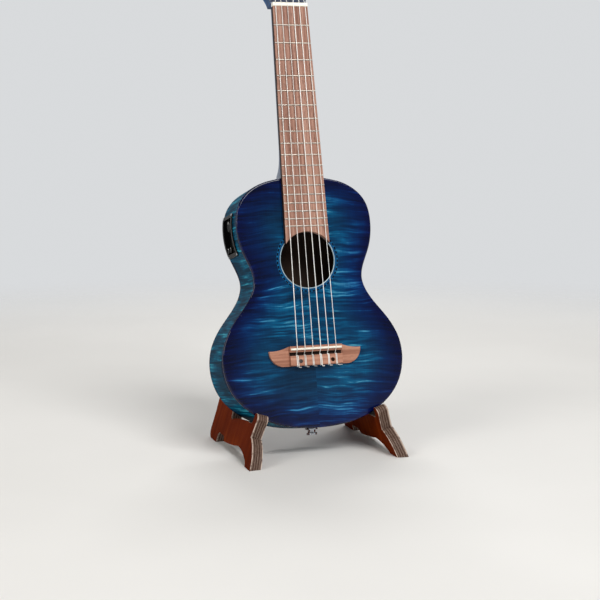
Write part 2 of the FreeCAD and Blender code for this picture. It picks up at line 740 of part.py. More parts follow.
def side_half_width(z):
    """Half width of the upper bout at height z."""
    line = Part.LineSegment(Vec(60, 0, z), Vec(130, 0, z)).toShape()
    return line.distToShape(body_wire(0, 0))[1][0][0].x


def make_wires():
    """Pickup lead and output lead, each from its part to the preamp's housing."""
    pickup = [Vec(-29, 1 - SADDLE_FOOT, 0), Vec(-29, 22, 0), Vec(-40, 28, 40), Vec(-48, 34, 136),
              Vec(PREAMP_BACK_X, 34, 140)]
    output = [Vec(0, JACK_Y, JACK_INNER_Z), Vec(0, JACK_Y, -22), Vec(-28, 42, 45), Vec(-42, 46, 126),
              Vec(PREAMP_BACK_X, 46, 134)]
    leads = []
    for points, radius in ((pickup, 1.0), (output, 1.4)):
        points[-2].z = points[-1].z
        leads.append(tube(points, radius, 2.5 * radius))
    return group(leads)


# ---- output jack ----
def make_jack_sleeve():
    """Barrel through the tail block, with a flange and a strap button outside."""
    mouth = TAIL_Z - JACK_PROUD
    seat = TAIL_Z - 0.4

    def along(radius, z0, z1):
        return cylinder(radius, (0, JACK_Y, z0), (0, JACK_Y, z1))
    sleeve = fuse([along(7.0, mouth, mouth + 3.0), along(5.0, mouth + 3.0, seat - 2.0),
                   along(8.0, seat - 2.0, seat), along(6.0, seat, JACK_INNER_Z)])
    return sleeve.cut(along(JACK_BORE, mouth - 1, mouth + JACK_BORE_LENGTH))


def make_jack_nut():
    corners = [math.radians(60 * index) for index in range(7)]
    nut = [Vec(9 * math.cos(a), JACK_Y + 9 * math.sin(a), TAIL_Z + 20.0) for a in corners]
    return prism(Part.makePolygon(nut), (0, 0, 4.0)).cut(jack_hole(6.0))


# ---- stand ----
def leg_profile():
    """Side view of a leg when folded upright: Y back from the saddle, heights above the floor line."""
    def at(y, height):
        return Vec(LEG_GAP, y, height - FOOT_OFFSET)

    def line(*ends):
        return Part.LineSegment(at(*ends[0]), at(*ends[1])).toShape()

    def arc(*ends):
        return Part.Arc(at(*ends[0]), at(*ends[1]), at(*ends[2])).toShape()
    top = PIN_Z + FOOT_OFFSET
    edges = [
        line((-42, -7), (-61, -7)),                             # front foot
        line((-61, -7), (-61, 0)),
        arc((-61, 0), (-54.5, 16), (-37, 33)),
        arc((-37, 33), (-34.5, 34.6), (-31.5, 35)),             # ledge
        arc((-31.5, 35), (-33.2, 47), (-36, 59)),               # hook
        arc((-36, 59), (-33, 63.2), (-27, 64.5)),
        arc((-27, 64.5), (-24.2, 63.5), (-23.5, 61)),
        line((-23.5, 61), (-22.8, 54)),
        arc((-22.8, 54), (-21.3, 51), (-18, 50)),
        arc((-18, 50), (16, 47.4), (50, 40.5)),                 # cradle
        arc((50, 40.5), (57.5, 40.2), (60, 44.5)),
        line((60, 44.5), (95.2, 266)),                          # front of the upright
        arc((95.2, 266), (99.5, 274), (108, 276)),
        arc((108, 276), (109.5, 276.5), (110, 278)),
        line((110, 278), (110, top)),
        line((110, top), (150, top)),
        arc((150, top), (135.6, 170), (126, 44)),               # rear edge
        arc((126, 44), (124.8, 28), (125, 13)),
        arc((125, 13), (121.5, 3.5), (113, 0)),
        line((113, 0), (113, -7)),
        line((113, -7), (90, -7)),
        line((90, -7), (90, 7)),
        arc((90, 7), (88.6, 12.3), (84, 14)),                   # step before the rear foot
        line((84, 14), (68, 14)),
        arc((68, 14), (64.5, 12.8), (62.5, 9.5)),
        arc((62.5, 9.5), (59.5, 8.2), (55, 8.4)),
        arc((55, 8.4), (30, 11), (4, 15.7)),                    # arch
        arc((4, 15.7), (-12, 14.3), (-29, 9)),
        arc((-29, 9), (-37, 3.5), (-42, -7)),
    ]
    return Part.Wire(edges)


def hinge_cylinder(radius, y0, y1):
    return cylinder(radius, (0, y0, PIN_Z), (0, y1, PIN_Z))


def make_leg(side):
    """One leg, open; the left leg (side -1) carries the two outer knuckles."""
    leg = prism(leg_profile(), (LEG_THICKNESS, 0, 0))
    first, last = HINGE_Y
    low, high = KNUCKLE_CUTS
    outer = [(first + 0.2, low - 0.15), (high + 0.15, last - 0.2)]
    inner = [(low + 0.15, high - 0.15)]
    own, other = (outer, inner) if side < 0 else (inner, outer)
    for y0, y1 in other:
        leg = leg.cut(hinge_cylinder(KNUCKLE_RADIUS + 0.5, y0 - 0.3, y1 + 0.3))
    leg = leg.fuse([hinge_cylinder(KNUCKLE_RADIUS, y0, y1) for y0, y1 in own])
    leg = leg.cut(hinge_cylinder(PIN_RADIUS + FIT, first - 5, last + 5))
    leg = turned(leg, (0, 0, PIN_Z), (0, 1, 0), -FOLD_ANGLE)
    leg = leg.common(box(-20, 200, -100, 200, 0, 400))
    return leg if side > 0 else mirrored(leg)


def hexagon_wire(radius, y):
    """A hexagon round the hinge pin's axis."""
    corners = [math.radians(60 * index) for index in range(7)]
    return Part.makePolygon([Vec(radius * math.cos(a), y, PIN_Z + radius * math.sin(a)) for a in corners])


def make_hinge_bolt():
    first, last = HINGE_Y
    head = hinge_cylinder(6.5, first - 6.5, first - 1.7)
    head = head.makeFillet(2.0, [edge for edge in head.Edges if edge.CenterOfMass.y < first - 6.4])
    socket = prism(hexagon_wire(2.5, first - 7), (0, 3.0, 0))
    return head.fuse(hinge_cylinder(PIN_RADIUS, first - 1.7, last + 10)).cut(socket)


def make_hinge_nut():
    return prism(hexagon_wire(7.5, HINGE_Y[1] + 1.7), (0, 6.5, 0)).cut(hinge_cylinder(PIN_RADIUS, 0, 300))


def make_hinge_washers():
    first, last = HINGE_Y
    places = ((first - 1.7, first - 0.3), (last + 0.3, last + 1.7))
    hole = hinge_cylinder(PIN_RADIUS + 0.05, 0, 300)
    return group(hinge_cylinder(8.0, y0, y1).cut(hole) for y0, y1 in places)


# ---- all nodes ----
def guitar_nodes():
    nodes = {
        "soundboard": make_soundboard(),
        "rosette": make_rosette(),
        "top_binding": in_staves(body_ring(0, BINDING_WIDTH, 0, BINDING_DEPTH)),
        "side_rims": make_side_rims(),
        "back_panel": make_back_panel(),
        "back_binding": make_back_binding(),
        "linings": make_linings(),
        "neck_block": inside(neck_block_space(), RIM),
        "tail_block": make_tail_block(),
        "top_braces": make_top_braces(),
        "back_braces": make_back_braces(),
        "bridge_plate": make_bridge_plate(),
        "neck": make_neck(),
        "fingerboard": make_fingerboard(),
        "frets": make_frets(),
        "nut": make_nut(),
        "head_veneer": make_head_veneer(),
        "bridge": make_bridge(),
        "saddle": make_saddle(),
        "saddle_pickup": make_saddle_pickup(),
        "bridge_screws": make_bridge_screws(),
        "preamp_bezel": make_preamp_bezel(),
        "preamp_housing": make_preamp_housing(),
        "preamp_board": make_preamp_board(),
        "preamp_window": make_preamp_window(),
        "preamp_screws": make_preamp_screws(),
        "coin_cells": make_coin_cells(),
        "preamp_volume_knob": make_preamp_knob(VOLUME_KNOB),
        "preamp_bass_knob": make_preamp_knob(BASS_KNOB),
        "preamp_treble_knob": make_preamp_knob(TREBLE_KNOB),
        "preamp_button": make_preamp_button(),
        "wires": make_wires(),
        "jack_sleeve": make_jack_sleeve(),
        "jack_nut": make_jack_nut(),
    }
    for index in range(6):
        nodes[f"string_{index + 1}"] = make_string(index)
    machines = machine_positions()
    nodes["tuner_housings"] = place_head(group(make_housing(x, z, side) for x, z, side in machines))
    nodes["tuner_bushings"] = place_head(group(make_bushing(x, z) for x, z, side in machines))
    nodes["tuner_screws"] = place_head(group(make_machine_screw(x, z, side) for x, z, side in machines))
    for number, (x, z, side) in enumerate(machines, 1):
        nodes[f"tuner_post_{number}"] = place_head(make_post(x, z))
        nodes[f"tuner_button_{number}"] = place_head(make_button(x, z, side))
    return {name: place_guitar(shape) for name, shape in nodes.items()}


def stand_nodes():
    nodes = {
        "stand_leg_left": make_leg(-1),
        "stand_leg_right": make_leg(1),
        "hinge_bolt": make_hinge_bolt(),
        "hinge_nut": make_hinge_nut(),
        "hinge_washers": make_hinge_washers(),
    }
    return {name: moved(shape, 0, SADDLE_Y, 0) for name, shape in nodes.items()}


def main():
    nodes = {**stand_nodes(), **guitar_nodes()}
    for name, shape in nodes.items():
        shape.exportStep(f"parts/{name}.step")
    print(len(nodes), "nodes")
    whole = Part.makeCompound(list(nodes.values())).BoundBox
    print("box", whole)


main()
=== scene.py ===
"""Looks of the small six-string nylon guitar in its folding plywood stand.

Guitar pieces are made in the guitar's own frame, in millimetres: X across, Y from the soundboard to the back,
Z up from the saddle. Their objects carry that frame's place, so object coordinates follow the wood's grain.
"""
import json
import math

import bmesh
import bpy
import numpy as np
from mathutils import Matrix, Vector

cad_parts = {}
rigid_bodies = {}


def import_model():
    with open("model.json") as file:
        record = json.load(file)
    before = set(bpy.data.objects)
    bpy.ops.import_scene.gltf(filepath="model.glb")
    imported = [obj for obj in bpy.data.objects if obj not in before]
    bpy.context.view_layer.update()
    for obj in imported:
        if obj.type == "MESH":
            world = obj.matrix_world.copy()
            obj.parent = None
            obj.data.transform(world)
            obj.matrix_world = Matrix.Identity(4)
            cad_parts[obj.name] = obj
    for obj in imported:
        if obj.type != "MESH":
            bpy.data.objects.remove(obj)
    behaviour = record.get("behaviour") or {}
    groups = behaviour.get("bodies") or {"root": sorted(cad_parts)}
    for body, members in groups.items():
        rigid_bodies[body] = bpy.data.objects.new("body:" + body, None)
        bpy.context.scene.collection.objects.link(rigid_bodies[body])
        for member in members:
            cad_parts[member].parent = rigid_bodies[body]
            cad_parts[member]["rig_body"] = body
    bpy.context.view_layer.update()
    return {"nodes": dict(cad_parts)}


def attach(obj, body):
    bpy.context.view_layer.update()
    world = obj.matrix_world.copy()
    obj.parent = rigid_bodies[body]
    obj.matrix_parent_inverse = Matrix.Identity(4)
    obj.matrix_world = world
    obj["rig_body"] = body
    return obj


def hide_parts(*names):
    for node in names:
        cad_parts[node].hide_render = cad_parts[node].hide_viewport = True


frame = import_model()

MM = 0.001

# ---- sizes shared with the CAD model (millimetres, degrees) ----
LEAN = 13.26
SADDLE = (0, -56.2, 132.0)
HEAD_ANGLE = 12.0
NUT_END_Z = 438.0
TAIL_Z = -97.9
SHOULDER_Z = 217.3
DEPTH_AT_TAIL = 70.0
DEPTH_AT_NECK = 62.0
HALF_OUTLINE = [
    (0, 217.3), (30.8, 214.5), (60.4, 205.8), (83.3, 184.2), (88.9, 157.0), (83.2, 123.2), (71.4, 86.0),
    (81.0, 61.7), (97.8, 40.0), (115.0, 9.2), (118.2, -15.1), (108.1, -50.7), (82.0, -77.1), (48.1, -92.1),
    (0, -97.9)]
PLATE = 2.5
RIM = 2.2
BINDING_DEPTH = 3.0
HOLE_Z = 111.2
HOLE_RADIUS = 35.0
ROSETTE = (36.5, 40.8)
BOARD_HALF_AT_SADDLE = 31.2
BOARD_TAPER = 0.0187
SCALE_LENGTH = 433.0
HEEL_DEPTH = 56.0
NECK_DEPTH = (13.5, 16.5)
PREAMP_FLOOR_X = -83.0
JACK_Y = 34.0
STRING_RADII = [0.55, 0.46, 0.40, 0.52, 0.43, 0.37]
SPREAD_AT_SADDLE = 25.5
SPREAD_AT_NUT = 19.6
BRIDGE_HEIGHT = 8.0
SADDLE_TOP = 10.1
NUT_HEIGHT = 8.0
TIE_HOLE_Y = -4.6
TIE_BACK_Z = -20.6
POST_X = 20.0
POST_Z = [30.0, 68.0, 106.0]
POST_RADIUS = 3.0
COIL_Y = -5.0
FOLD_ANGLE = 17.5
PIN_Z = 279.0
LEG_THICKNESS = 14.0

# ---- sizes of the finer shapes (millimetres) ----
EDGE_RADIUS = 2.3           # rounding round the soundboard and the back
HOLE_ROUND = 0.5            # rounding of the soundhole's edge
HOLE_RING = 1.2             # pale ring round the soundhole
OPENING_Y = (20.2, 57.8)    # opening in the sides, under the preamp's bezel
OPENING_Z = (125.2, 171.8)
JACK_HOLE = 6.0             # opening in the sides round the jack
HEEL_TOP = 42.0             # above the shoulder, where the heel runs into the shaft
HEEL_FOOT = 6.0             # above the shoulder, up to where the heel keeps its full depth
HEEL_HALF = 19.0            # half width of the heel at its back
KNOB_HEIGHT = 3.9
KNOB_GAP = 0.3              # under each knob
TILES = 46                  # dark tiles in the soundhole's ring
PLY = 1.55                  # thickness of one layer of the plywood
# the pale band along a leg's cut edge is partly wear and partly a painted highlight where the edge catches
# the light
WEAR_AND_HIGHLIGHT_EDGE = (1.7, 0.8)      # depths under a leg's face between which its cut edge turns pale

# ---- frames ----
GUITAR = Matrix.Translation(Vector(SADDLE) * MM) @ Matrix.Rotation(math.radians(-LEAN), 4, "X")
NUT_END = Matrix.Translation((0, 0, NUT_END_Z * MM))
HEAD = GUITAR @ NUT_END @ Matrix.Rotation(math.radians(-HEAD_ANGLE), 4, "X")
ROW = Matrix.Identity(4)


# ---- material helpers ----
def linear(code):
    """An sRGB hex colour as linear RGBA."""
    values = [int(code[i:i + 2], 16) / 255 for i in (0, 2, 4)]
    return [v / 12.92 if v <= 0.04045 else ((v + 0.055) / 1.055) ** 2.4 for v in values] + [1.0]


class Look:
    """A material's node tree, built with short calls."""

    def __init__(self, name, roughness=0.5, metallic=0.0, coat=0.0, coat_roughness=0.05, specular=0.5,
                 ior=1.5):
        self.material = bpy.data.materials.new(name)
        self.material.use_nodes = True
        self.tree = self.material.node_tree
        self.shader = self.tree.nodes["Principled BSDF"]
        values = {"Roughness": roughness, "Metallic": metallic, "Coat Weight": coat, "IOR": ior,
                  "Coat Roughness": coat_roughness, "Specular IOR Level": specular}
        for key, value in values.items():
            self.shader.inputs[key].default_value = value

    def add(self, kind, inputs, **settings):
        node = self.tree.nodes.new("ShaderNode" + kind)
        for key, value in settings.items():
            setattr(node, key, value)
        for key, value in inputs.items():
            if isinstance(value, bpy.types.NodeSocket):
                self.tree.links.new(value, node.inputs[key])
            else:
                node.inputs[key].default_value = value
        return node

    def set(self, socket, value):
        if isinstance(value, bpy.types.NodeSocket):
            self.tree.links.new(value, self.shader.inputs[socket])
        else:
            self.shader.inputs[socket].default_value = value

    def place(self):
        """The surface point in the piece's own frame, in metres."""
        return self.add("TexCoord", {}).outputs["Object"]

    def attribute(self, name):
        return self.add("Attribute", {}, attribute_name=name).outputs["Vector"]

    def stretch(self, vector, scale, rotation=(0, 0, 0)):
        return self.add("Mapping", {"Vector": vector, "Scale": scale, "Rotation": rotation}).outputs["Vector"]

    def noise(self, vector, scale=1.0, detail=3.0, roughness=0.5, distortion=0.0):
        inputs = {"Vector": vector, "Scale": scale, "Detail": detail, "Roughness": roughness,
                  "Distortion": distortion}
        return self.add("TexNoise", inputs).outputs["Fac"]

    def maths(self, operation, a, b=0.0, clamp=False):
        return self.add("Math", {0: a, 1: b}, operation=operation, use_clamp=clamp).outputs["Value"]

    def spread(self, value, low, high, out_low=0.0, out_high=1.0, smooth=True):
        inputs = {"Value": value, "From Min": low, "From Max": high, "To Min": out_low, "To Max": out_high}
        kind = "SMOOTHSTEP" if smooth else "LINEAR"
        return self.add("MapRange", inputs, interpolation_type=kind).outputs["Result"]

    def parts(self, vector):
        return self.add("SeparateXYZ", {0: vector}).outputs

    def ramp(self, value, stops):
        node = self.add("ValToRGB", {"Fac": value})
        elements = node.color_ramp.elements
        while len(elements) < len(stops):
            elements.new(0.5)
        for element, (position, colour) in zip(elements, stops):
            element.position = position
            element.color = linear(colour)
        return node.outputs["Color"]

    def mix(self, factor, a, b, blend="MIX"):
        node = self.tree.nodes.new("ShaderNodeMix")
        node.data_type = "RGBA"
        node.blend_type = blend
        for socket, value in ((node.inputs[0], factor), (node.inputs[6], a), (node.inputs[7], b)):
            if isinstance(value, bpy.types.NodeSocket):
                self.tree.links.new(value, socket)
            else:
                socket.default_value = value
        return node.outputs[2]

    def bump(self, height, distance, strength=1.0, on_coat=False):
        node = self.add("Bump", {"Height": height, "Distance": distance, "Strength": strength})
        self.tree.links.new(node.outputs["Normal"], self.shader.inputs["Normal"])
        if on_coat:
            self.tree.links.new(node.outputs["Normal"], self.shader.inputs["Coat Normal"])


# ---- materials ----
def flamed_maple(name, tones, reaches, bar_scale, sway, coat):
    """Figured maple under blue stain and clear gloss: bars across the grain, darker towards the edges.

    The attribute grain holds, in metres, the place along the bars, across them, and the distance from the
    edge. The two halves meet at a centre seam and have their own figure. Tones are colour ramps from the edge
    inwards, and reaches the distances from the edge between which one gives way to the next.
    """
    look = Look(name, roughness=0.45, coat=coat, coat_roughness=0.04, specular=0.0)
    along, across, edge = look.parts(look.attribute("grain"))
    half = look.maths("ABSOLUTE", along)
    side = look.maths("SIGN", along)
    sheared = look.maths("ADD", across, look.maths("MULTIPLY", half, 0.06))
    layer = look.maths("MULTIPLY", side, 0.37)
    flat = look.add("CombineXYZ", {"X": half, "Y": sheared, "Z": layer}).outputs["Vector"]
    wander = look.noise(look.stretch(flat, (16, 20, 3)), detail=2.0)
    swayed = look.maths("ADD", sheared, look.maths("MULTIPLY", wander, sway))
    wavy = look.add("CombineXYZ", {"X": half, "Y": swayed, "Z": layer}).outputs["Vector"]
    bars = look.noise(look.stretch(wavy, (15, bar_scale, 3)), detail=2.0, roughness=0.5, distortion=0.15)
    streaks = look.noise(look.stretch(wavy, (24, bar_scale * 2.4, 3)), detail=3.0, roughness=0.65)
    patches = look.noise(look.stretch(flat, (13, 17, 3)), detail=3.0)
    fibres = look.noise(look.stretch(flat, (900, 40, 1)), detail=2.0)
    lively = look.spread(patches, 0.35, 0.62, 0.45, 1.0)
    figure = look.spread(bars, 0.32, 0.68, -0.23, 0.23)
    figure = look.maths("ADD", figure, look.spread(streaks, 0.32, 0.68, -0.2, 0.2))
    figure = look.maths("ADD", look.maths("MULTIPLY", figure, lively), 0.42)
    figure = look.maths("ADD", figure, look.spread(patches, 0.3, 0.7, -0.17, 0.17))
    figure = look.maths("ADD", figure, look.spread(fibres, 0.3, 0.7, -0.02, 0.02))
    glint = look.maths("MULTIPLY", look.spread(streaks, 0.57, 0.72), look.spread(bars, 0.45, 0.62))
    figure = look.maths("ADD", figure, look.maths("MULTIPLY", glint, 0.38))
    figure = look.maths("ADD", figure, look.maths("MULTIPLY", side, 0.04))
    uneven = look.maths("ADD", edge, look.spread(patches, 0.25, 0.75, -0.006, 0.006))
    colour = look.ramp(figure, tones[0])
    for stops, (near, far) in zip(tones[1:], reaches):
        colour = look.mix(look.spread(uneven, near, far), colour, look.ramp(figure, stops))
    look.set("Base Color", colour)
    look.set("Roughness", look.spread(bars, 0.3, 0.7, 0.5, 0.38))
    ripple = look.noise(look.stretch(flat, (60, 60, 60)), detail=1.0)
    look.bump(ripple, 0.0001, on_coat=True)
    return look.material


def walnut(name, along, base, gloss=0.5, shaded=False):
    """Open-pored pinkish brown wood with its grain along one axis of the piece's frame.

    A shaded piece has painted shade in the channel behind the saddle; any other piece has painted shade on
    its sides.
    """
    look = Look(name, roughness=gloss, specular=0.15)
    place = look.place()
    long_way = [420.0, 420.0, 420.0]
    long_way[along] = 9.0
    pore_way = [1500.0, 1500.0, 1500.0]
    pore_way[along] = 70.0
    bands = look.noise(look.stretch(place, [v / 3.2 for v in long_way]), detail=4.0, distortion=0.25)
    lines = look.noise(look.stretch(place, long_way), detail=4.0, roughness=0.65)
    pores = look.noise(look.stretch(place, pore_way), detail=1.0)
    tone = look.maths("ADD", look.spread(bands, 0.3, 0.7, 0.0, 0.62), look.spread(lines, 0.3, 0.7, 0.0, 0.38))
    colour = look.ramp(tone, [(0.0, base[0]), (0.5, base[1]), (1.0, base[2])])
    pore = look.spread(pores, 0.27, 0.36)
    colour = look.mix(look.maths("SUBTRACT", 1.0, pore), colour, linear("54372c"))
    if shaded:
        # painted shade: the sunk tie channel on the bridge's block is mixed toward dark brown 2a1a14
        x, y, z = look.parts(place)
        block = look.spread(look.maths("ABSOLUTE", x), 0.0338, 0.0341, 1.0, 0.0)
        sunk = look.maths("MULTIPLY", block, look.spread(y, -0.0077, -0.0070))
        channel = look.spread(look.maths("ABSOLUTE", look.maths("ADD", z, 0.0058)), 0.0022, 0.0026, 1.0, 0.0)
        dark = look.maths("MULTIPLY", sunk, channel)
    else:
        # painted shade: the side faces are mixed toward dark brown 2a1a14, standing in for the shadow on them
        normal = look.add("TexCoord", {}).outputs["Normal"]
        dark = look.spread(look.maths("ABSOLUTE", look.parts(normal)[0]), 0.6, 0.85)
    colour = look.mix(dark, colour, linear("2a1a14"))
    look.set("Base Color", colour)
    look.set("Roughness", look.spread(lines, 0.3, 0.7, gloss + 0.1, gloss - 0.08))
    look.bump(look.maths("ADD", pore, look.maths("MULTIPLY", lines, 0.4)), 0.00006)
    return look.material


def plain_wood(name, along, dark, light, roughness=0.6, coat=0.0, specular=0.3):
    """Close-grained wood, bare or lacquered."""
    look = Look(name, roughness=roughness, coat=coat, coat_roughness=0.06, specular=specular)
    place = look.place()
    way = [160.0, 160.0, 160.0]
    way[along] = 6.0
    grain = look.noise(look.stretch(place, way), detail=5.0, roughness=0.6, distortion=0.3)
    fibres = look.noise(look.stretch(place, [v * 9 for v in way]), detail=1.0)
    tone = look.maths("ADD", look.spread(grain, 0.3, 0.7, 0, 0.75), look.spread(fibres, 0.3, 0.7, 0, 0.25))
    look.set("Base Color", look.ramp(tone, [(0.0, dark), (1.0, light)]))
    look.bump(fibres, 0.00003)
    return look.material


def stand_plywood(name, side):
    """Red-brown stained face veneers, and laminations where the plywood is cut.

    The leg leans, so its coordinates are turned about the hinge until X runs straight through the plywood.
    """
    look = Look(name, specular=0.0, roughness=0.5, coat=0.05, coat_roughness=0.3)
    coordinates = look.add("TexCoord", {})
    upright = Matrix.Rotation(math.radians(side * FOLD_ANGLE), 3, "Y")
    pin = Vector((0, 0, PIN_Z * MM))
    turn = {"Rotation": (0, math.radians(side * FOLD_ANGLE), 0)}
    place = look.add("Mapping", {"Vector": coordinates.outputs["Object"], "Location": pin - upright @ pin,
                                 **turn}).outputs["Vector"]
    normal = look.add("Mapping", {"Vector": coordinates.outputs["Normal"], **turn},
                      vector_type="VECTOR").outputs["Vector"]
    through = look.parts(place)[0]
    facing = look.maths("ABSOLUTE", look.parts(normal)[0])
    # laminations
    waver = look.noise(look.stretch(place, (0, 55, 55)), detail=2.0)
    layer = look.maths("MULTIPLY", through, 1 / (PLY * MM))
    layer = look.maths("ADD", layer, look.spread(waver, 0, 1, -0.22, 0.22))
    ply = look.maths("FRACT", look.maths("MULTIPLY", layer, 0.5))
    cross = look.spread(look.maths("ABSOLUTE", look.maths("SUBTRACT", ply, 0.5)), 0.2, 0.3)
    from_ply = look.maths("ABSOLUTE", look.maths("SUBTRACT", look.maths("FRACT", layer), 0.5))
    glue = look.spread(from_ply, 0.36, 0.47)
    fuzz = look.noise(look.stretch(place, (2600, 240, 240)), detail=3.0, roughness=0.7)
    saw = look.noise(look.stretch(place, (90, 1400, 1400)), detail=2.0)
    end_tone = look.ramp(fuzz, [(0.25, "2e1f19"), (0.55, "533e35"), (0.8, "776255")])
    long_tone = look.ramp(fuzz, [(0.25, "4c3931"), (0.55, "7f695d"), (0.8, "b0a093")])
    cut = look.mix(cross, end_tone, long_tone)
    cut = look.mix(glue, cut, linear("1d120d"))
    # face veneer
    bands = look.noise(look.stretch(place, (60, 90, 7)), detail=4.0, distortion=0.5)
    fine = look.noise(look.stretch(place, (900, 1100, 30)), detail=3.0, roughness=0.6)
    stain = look.noise(look.stretch(place, (12, 12, 12)), detail=3.0)
    tone = look.maths("ADD", look.spread(bands, 0.3, 0.7, 0.1, 0.4), look.spread(fine, 0.3, 0.7, 0.0, 0.2))
    tone = look.maths("ADD", tone, look.spread(stain, 0.3, 0.7, 0.0, 0.3))
    veneer = look.ramp(tone, [(0.0, "431003"), (0.5, "662205"), (1.0, "8c3b0c")])
    is_face = look.spread(facing, 0.88, 0.96)
    colour = look.mix(is_face, cut, veneer)
    middle = LEG_THICKNESS * MM / 2
    from_middle = look.maths("ABSOLUTE", look.maths("SUBTRACT", look.maths("ABSOLUTE", through), middle))
    # pale band cdb8a8 on each cut edge beside the face: partly wear, partly a painted highlight
    near_face = look.spread(from_middle, middle - WEAR_AND_HIGHLIGHT_EDGE[0] * MM, middle - WEAR_AND_HIGHLIGHT_EDGE[1] * MM)
    wear_and_highlight = look.maths("MULTIPLY", near_face, look.spread(facing, 0.9, 0.97, 0.85, 0.0))
    patchy = look.spread(look.noise(look.stretch(place, (160, 160, 160)), detail=3.0), 0.3, 0.55)
    colour = look.mix(look.maths("MULTIPLY", wear_and_highlight, patchy), colour, linear("cdb8a8"))
    look.set("Base Color", colour)
    look.set("Roughness", look.mix(is_face, (0.62, 0.62, 0.62, 1), (0.42, 0.42, 0.42, 1)))
    relief = look.maths("ADD", look.maths("SUBTRACT", 1.0, glue),
                        look.maths("MULTIPLY", look.maths("ADD", fuzz, saw), 0.35))
    relief = look.mix(is_face, relief, look.maths("MULTIPLY", fine, 0.12))
    look.bump(relief, 0.00016)
    return look.material


def mosaic(name):
    """Soundhole ring: a line of dark tiles with pale gaps, inside a blue band."""
    look = Look(name, roughness=0.4, coat=0.75, coat_roughness=0.04, specular=0.0)
    x, _, z = look.parts(look.place())
    dz = look.maths("SUBTRACT", z, HOLE_Z * MM)
    squares = look.maths("ADD", look.maths("MULTIPLY", x, x), look.maths("MULTIPLY", dz, dz))
    radius = look.maths("MULTIPLY", look.maths("SQRT", squares), 1000.0)
    turn = look.maths("MULTIPLY", look.maths("ARCTAN2", dz, x), TILES / (2 * math.pi))
    shade = look.noise(look.stretch(look.place(), (260, 260, 260)), detail=3.0)
    tile = look.maths("FRACT", look.maths("ADD", turn, 2.0 * TILES))
    from_middle = look.maths("ABSOLUTE", look.maths("SUBTRACT", tile, 0.5))
    gap = look.spread(from_middle, 0.31, 0.36)
    band = look.spread(look.maths("ABSOLUTE", look.maths("SUBTRACT", radius, 39.5)), 0.8, 0.95, 1.0, 0.0)
    tiles = look.mix(gap, look.ramp(shade, [(0.3, "02050c"), (0.7, "0a1524")]),
                     look.ramp(shade, [(0.3, "084a76"), (0.7, "12648e")]))
    around = look.ramp(shade, [(0.3, "033660"), (0.7, "07507c")])
    look.set("Base Color", look.mix(band, around, tiles))
    return look.material


def metal(name, colour, roughness, brushed=0.0):
    """Plated or bare metal, slightly smudged and scratched."""
    look = Look(name, roughness=roughness, metallic=1.0)
    place = look.place()
    smudge = look.noise(look.stretch(place, (90, 90, 90)), detail=3.0)
    scratch = look.noise(look.stretch(place, (2500, 160, 160)), detail=2.0)
    tarnish = look.spread(smudge, 0.35, 0.7, 0.0, 0.35)
    look.set("Base Color", look.mix(tarnish, linear(colour), linear("8f9093")))
    look.set("Roughness", look.maths("ADD", look.spread(smudge, 0.3, 0.7, roughness, roughness + 0.12),
                                     look.spread(scratch, 0.4, 0.7, 0.0, 0.06 + brushed)))
    look.bump(scratch, 0.000006 + 0.00002 * brushed)
    return look.material


def plastic(name, dark, light, roughness, grain_scale=1500, coat=0.0, relief=0.00002, specular=0.5):
    """Moulded plastic, bone or paint: faint mottling and a fine surface texture."""
    look = Look(name, roughness=roughness, coat=coat, specular=specular, coat_roughness=0.1)
    place = look.place()
    mottle = look.noise(look.stretch(place, (70, 70, 70)), detail=4.0)
    grain = look.noise(look.stretch(place, [grain_scale] * 3), detail=2.0)
    look.set("Base Color", look.ramp(mottle, [(0.3, dark), (0.7, light)]))
    look.set("Roughness", look.spread(grain, 0.3, 0.7, roughness - 0.06, roughness + 0.08))
    look.bump(grain, relief)
    return look.material


def nylon(name):
    """Clear treble string, slightly milky."""
    look = Look(name, roughness=0.22, specular=0.6, ior=1.53)
    cloud = look.noise(look.stretch(look.place(), (400, 400, 20)), detail=2.0)
    look.set("Base Color", look.ramp(cloud, [(0.3, "e8e6e0"), (0.7, "fbfaf7")]))
    look.set("Subsurface Weight", 0.25)
    look.set("Subsurface Radius", (0.0008, 0.0008, 0.0007))
    return look.material


def wound(name):
    """Bass string: silvered wire wound round a core."""
    look = Look(name, roughness=0.35, metallic=0.5)
    along = look.parts(look.attribute("run"))[0]
    turn = look.maths("SINE", look.maths("MULTIPLY", along, 2 * math.pi / 0.00042))
    grime = look.noise(look.stretch(look.place(), (120, 120, 60)), detail=3.0)
    look.set("Base Color", look.ramp(grime, [(0.3, "dad7d1"), (0.7, "f7f5f0")]))
    look.bump(turn, 0.00003)
    return look.material


def board_green(name):
    """Circuit board: green lacquer with paler lanes."""
    look = Look(name, roughness=0.35, coat=0.4)
    fine = look.stretch(look.place(), (400, 400, 400))
    lanes = look.add("TexBrick", {"Vector": fine, "Color1": linear("0d4f2b"), "Color2": linear("0f5a31"),
                                  "Mortar": linear("3c8a4c"), "Scale": 1.0}).outputs["Color"]
    look.set("Base Color", lanes)
    return look.material


def dark_window(name):
    """The preamp's display window, unlit: dark grey-green glass."""
    look = Look(name, roughness=0.2, coat=0.4, coat_roughness=0.03, specular=0.2)
    cloud = look.noise(look.stretch(look.place(), (60, 60, 60)), detail=2.0)
    look.set("Base Color", look.ramp(cloud, [(0.3, "1b2321"), (0.7, "2e3936")]))
    return look.material


def floor_material():
    """Pale floor that turns clear towards its rim."""
    look = Look("studio_floor", roughness=0.7, specular=0.1)
    cloud = look.noise(look.stretch(look.place(), (2, 2, 2)), detail=3.0)
    look.set("Base Color", look.ramp(cloud, [(0.3, "e0deda"), (0.7, "e6e4e0")]))
    x, y, _ = look.parts(look.place())
    squares = look.maths("ADD", look.maths("MULTIPLY", x, x), look.maths("MULTIPLY", y, y))
    look.set("Alpha", look.spread(squares, 0.4, 3.2, 1.0, 0.0))
    return look.material


